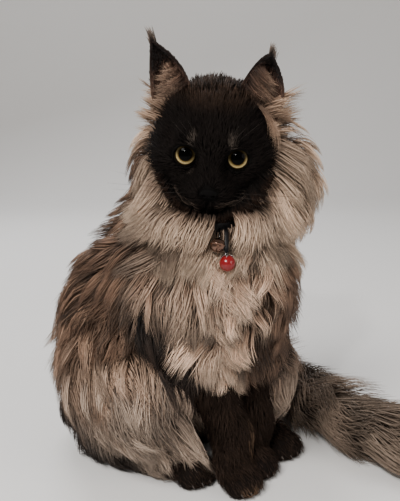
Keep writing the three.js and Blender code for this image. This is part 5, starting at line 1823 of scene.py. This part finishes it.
NOSE_SKIN = grained("nose_leather", colour(7, 6, 6), 0.75, 1500, 1.0, gloss=0.05)
bm = bmesh.new()
bmesh.ops.create_uvsphere(bm, u_segments=56, v_segments=40, radius=1)
for vert in bm.verts:
    x, y, z = vert.co
    narrow = 1 if z > 0 else 1 + 0.5 * z
    top = 1 - 0.1 * max(0, z)
    hx, hf, hu = x * narrow * 7.3, -y * 2.6 * top, z * 4.7
    # nostrils, the groove between them and the wings at both sides
    for s in (-1, 1):
        d = math.hypot((hx - s * 3.7) / 1.9, (hu + 0.6) / 1.15)
        hf -= 2.6 * max(0, 1 - d) ** 0.7 if y < 0 else 0
        w = math.hypot((hx - s * 5.6) / 1.6, (hu + 0.2) / 2.2)
        hf += 0.7 * max(0, 1 - w) if y < 0 else 0
    hf -= 0.9 * math.exp(-((hx / 0.6) ** 2)) * smooth(-hu, -1.5, 2.5) if y < 0 else 0
    vert.co = in_head(hx, 61.8 + hf, NOSE_HEIGHT + hu)
object_of(bm, "nose_pad", NOSE_SKIN, ["nose"])

# Collar, bell and bead
STRAP = grained("strap", colour(6, 5, 6), 0.4, 900, 0.3, coat=0.05, gloss=0.15)
BELL_METAL = grained("bell_metal", colour(98, 65, 46), 0.22, 700, 0.0, metal=1.0, coat=1.0, spread=0.03)
LINK_METAL = grained("link_metal", colour(24, 21, 20), 0.2, 700, 0.05, metal=1.0, coat=0.3)
SILVER = grained("silver", colour(205, 203, 200), 0.2, 300, 0.1, metal=1.0)
BEAD_RED = grained("bead_red", colour(112, 2, 9), 0.3, 120, 0.02, coat=0.6, gloss=0.2)



def rounded(x, power):
    """A sine or cosine swelled towards the side of a rounded box."""
    return math.copysign(abs(x) ** power, x)


def turns(count):
    return np.linspace(0, 2 * math.pi, count, endpoint=False)


def bridge(bm, rings, closed=False, caps=True):
    """Faces from ring to ring, round to the first one if closed, else with caps at the ends."""
    n, count = len(rings), len(rings[0])
    for k in range(n if closed else n - 1):
        a, b = rings[k], rings[(k + 1) % n]
        for i in range(count):
            bm.faces.new((a[i], a[(i + 1) % count], b[(i + 1) % count], b[i]))
    if caps and not closed:
        bm.faces.new(rings[0][::-1])
        bm.faces.new(rings[-1])


bm = bmesh.new()
rings = []
for a in turns(120):
    out = unit(v(math.cos(a) * COLLAR_DEEP, math.sin(a) * COLLAR_WIDE, 0))
    middle = v(math.sin(a) * COLLAR_WIDE, -math.cos(a) * COLLAR_DEEP, -math.cos(a) * COLLAR_DROP)
    ring = []
    for b in turns(14):
        r, h = 0.85 * rounded(math.cos(b), 0.6), 4.4 * rounded(math.sin(b), 0.5)
        ring.append(bm.verts.new(COLLAR_CENTRE + middle + v(out[1] * r, -out[0] * r, h)))
    rings.append(ring)
bridge(bm, rings, closed=True)
object_of(bm, "collar_band", STRAP, ["collar"])


def tube(bm, points, radius, sides):
    """A closed ring of wire through points."""
    pts = np.array(points, float)
    rings = []
    side_way = None
    for i, at in enumerate(pts):
        along = unit(pts[(i + 1) % len(pts)] - pts[i - 1])
        if side_way is None:
            side_way = np.cross(along, v(0.3, 0.2, 1.0))
        side_way = unit(side_way - along * (side_way @ along))
        up = np.cross(along, side_way)
        rings.append(
            [bm.verts.new(at + radius * (side_way * math.cos(t) + up * math.sin(t))) for t in turns(sides)]
        )
    bridge(bm, rings, closed=True)


def loop_points(centre, axis, radius, count):
    axis = unit(axis)
    u = unit(np.cross(axis, v(0.1, 0.9, 0.3)))
    w = np.cross(axis, u)
    return [centre + radius * (u * math.cos(t) + w * math.sin(t)) for t in turns(count)]


def ball_of(bm, centre, radius, across, down, shape=None):
    made = bmesh.ops.create_uvsphere(bm, u_segments=across, v_segments=down, radius=1)["verts"]
    for vert in made:
        q = v(*vert.co)
        vert.co = centre + radius * (shape(q) if shape else q)


def bell_shape(q):
    """A round bell with a raised band at its middle and a slot across its foot."""
    along = q @ BELL_AXIS
    across = unit(np.cross(BELL_AXIS, v(0, 1, 0)))
    depth = 1 + 0.1 * math.exp(-((along / 0.09) ** 2))
    if along < 0:
        depth -= 0.16 * math.exp(-(((q @ across) / 0.09) ** 2)) * smooth(-along, 0.25, 0.5)
    return q * depth


bm = bmesh.new()
ball_of(bm, BELL, 6.0, 96, 72, bell_shape)
object_of(bm, "bell_body", BELL_METAL, ["bell"])
LINK = from_box("bell_loop")
link_way = unit(v(16, -54.8, 231) - BELL - BELL_AXIS * 6)
link_across = unit(np.cross(link_way, v(1, 0, 0)))
bm = bmesh.new()
ring = [link_way * 5.6 * math.cos(t) + link_across * 2.6 * math.sin(t) for t in turns(36)]
tube(bm, [LINK + at for at in ring], 0.8, 10)
object_of(bm, "bell_ring", LINK_METAL, ["bell_loop"])

bm = bmesh.new()
ball_of(bm, BEAD, 6.3, 64, 48)
object_of(bm, "bead_ball", BEAD_RED, ["bead"])
bm = bmesh.new()
aside = unit(np.cross(BEAD_AXIS, v(1, 0, 0)))
other = np.cross(BEAD_AXIS, aside)
for a in turns(6):
    out = aside * math.cos(a) + other * math.sin(a)
    way = unit(BEAD_AXIS * 0.76 + out * 0.65)
    bend = unit(np.cross(way, BEAD_AXIS))
    across = unit(np.cross(bend, way))

    def petal(q):
        return across * q[0] * 2.7 + bend * q[1] * 1.7 + way * q[2] * 0.5

    ball_of(bm, BEAD + way * 6.75, 1.0, 20, 14, petal)
ball_of(bm, BEAD + BEAD_AXIS * 7.2, 2.0, 28, 18)
tube(bm, loop_points(BEAD + BEAD_AXIS * 9.9, v(1, 0, 0.2), 1.2, 20), 0.4, 8)
object_of(bm, "bead_crown", SILVER, ["bead_cap"])

# the short black strap that carries the bead, with rounded edges
strap_line = centripetal(STRAP_POINTS, 28)
bm = bmesh.new()
rings = []
for i, at in enumerate(strap_line):
    along = unit(strap_line[min(i + 1, len(strap_line) - 1)] - strap_line[max(i - 1, 0)])
    wide = unit(np.cross(along, v(0, -1, 0.3)))
    thick = np.cross(wide, along)
    ring = []
    for t in turns(16):
        x, y = 1.7 * rounded(math.cos(t), 0.5), 0.7 * rounded(math.sin(t), 0.5)
        ring.append(bm.verts.new(at + wide * x + thick * y))
    rings.append(ring)
bridge(bm, rings)
object_of(bm, "charm_band", STRAP, ["charm_strap"])

# Claws
CLAW = grained("claw", colour(62, 52, 45), 0.35, 500, 0.1, coat=0.3)
bm = bmesh.new()
toes = [(v(28.5, -49, 8.5), 12.5, 7.6), (v(45, -20, 8.5), 12.5, 7.6)]
toes += [(in_body(-50, -34, 8.5), 15, 8.4), (in_body(-36, 60, 8.5), 15, 8.4)]
for paw_at, ahead, apart in toes:
    for i in (-1.5, -0.5, 0.5, 1.5):
        root = paw_at + FORWARD * (ahead - 2.4 * abs(i) + 6.2) + LEFT * i * apart + DOWN * 1.5
        hook = ((0, 0), (2.6, 0.7), (5, -0.6), (6.4, -3.4))
        line = bezier([root + FORWARD * ahead_by + UP * above for ahead_by, above in hook], 9)
        rings = []
        for k, at in enumerate(line[:-1]):
            high = np.cross(LEFT, unit(line[k + 1] - at))
            r = 1.25 * (1 - k / 9) ** 0.7
            spots = [at + LEFT * r * 0.6 * math.cos(t) + high * r * math.sin(t) for t in turns(12)]
            rings.append([bm.verts.new(spot) for spot in spots])
        bridge(bm, rings, caps=False)
        bm.faces.new(rings[0][::-1])
        tip = bm.verts.new(line[-1])
        for a, b in zip(rings[-1], rings[-1][1:] + rings[-1][:1]):
            bm.faces.new((a, b, tip))
object_of(bm, "claws", CLAW, [])

# Floor, light and camera
floor_mesh = bpy.data.meshes.new("floor")
rows = []
for y in np.linspace(-3, 1.6, 12):
    rows.append((y, 0))
for a in np.linspace(0, math.pi / 2, 12)[1:]:
    rows.append((1.6 + 0.9 * math.sin(a), 0.9 * (1 - math.cos(a))))
rows.append((2.5, 4))
fv = [(x, y, z) for y, z in rows for x in (-4.0, 4.0)]
ff = [(2 * i, 2 * i + 1, 2 * i + 3, 2 * i + 2) for i in range(len(rows) - 1)]
floor_mesh.from_pydata(fv, [], ff)
shade_smooth(floor_mesh)
m, nodes, links, shader = material("floor")
noise = nodes.new("ShaderNodeTexNoise")
noise.inputs["Scale"].default_value = 3
ramp = nodes.new("ShaderNodeValToRGB")
ramp.color_ramp.elements[0].color = (0.76, 0.75, 0.74, 1)
ramp.color_ramp.elements[1].color = (0.8, 0.79, 0.78, 1)
links.new(noise.outputs["Fac"], ramp.inputs["Fac"])
links.new(ramp.outputs["Color"], shader.inputs["Base Color"])
shader.inputs["Roughness"].default_value = 0.8
floor_mesh.materials.append(m)
floor = add_object("floor", floor_mesh)


def area_light(name, at, aim, size, power, tint):
    """A round soft light at a place, aimed at another, in metres and watts."""
    data = bpy.data.lights.new(name, "AREA")
    data.shape = "DISK"
    data.size = size
    data.energy = power
    data.color = tint
    obj = add_object(name, data)
    obj.location = at
    obj.rotation_euler = (Vector(aim) - Vector(at)).to_track_quat("-Z", "Y").to_euler()


area_light("spark", (-0.35, -1.2, 1.05), (0, 0, 0.3), 0.1, 11, (1, 0.98, 0.95))
area_light("key", (-0.8, -1.2, 1.7), (0, 0, 0.2), 0.8, 33, (1, 0.97, 0.93))
area_light("fill", (1.4, -1.0, 0.8), (0, 0, 0.2), 1.2, 10, (1, 0.96, 0.92))
area_light("rim", (-0.6, 1.3, 1.4), (0, 0, 0.25), 0.9, 20, (0.97, 0.98, 1))
world = bpy.data.worlds.new("world")
world.use_nodes = True
world.node_tree.nodes["Background"].inputs[0].default_value = (1, 0.97, 0.94, 1)
world.node_tree.nodes["Background"].inputs[1].default_value = 0.34
bpy.context.scene.world = world

cam_data = bpy.data.cameras.new("camera")
cam_data.sensor_fit = "AUTO"
cam_data.sensor_width = SENSOR
cam_data.lens = FOCAL_PIXELS * SENSOR / PHOTO_HEIGHT
cam = add_object("camera", cam_data)
look = Matrix.Rotation(math.pi / 2 - CAMERA_PITCH, 3, "X") @ Matrix.Rotation(-CAMERA_ROLL, 3, "Z")
cam.matrix_world = Matrix.Translation(Vector(to_scene(CAMERA_PLACE))) @ look.to_4x4()
bpy.context.scene.camera = cam
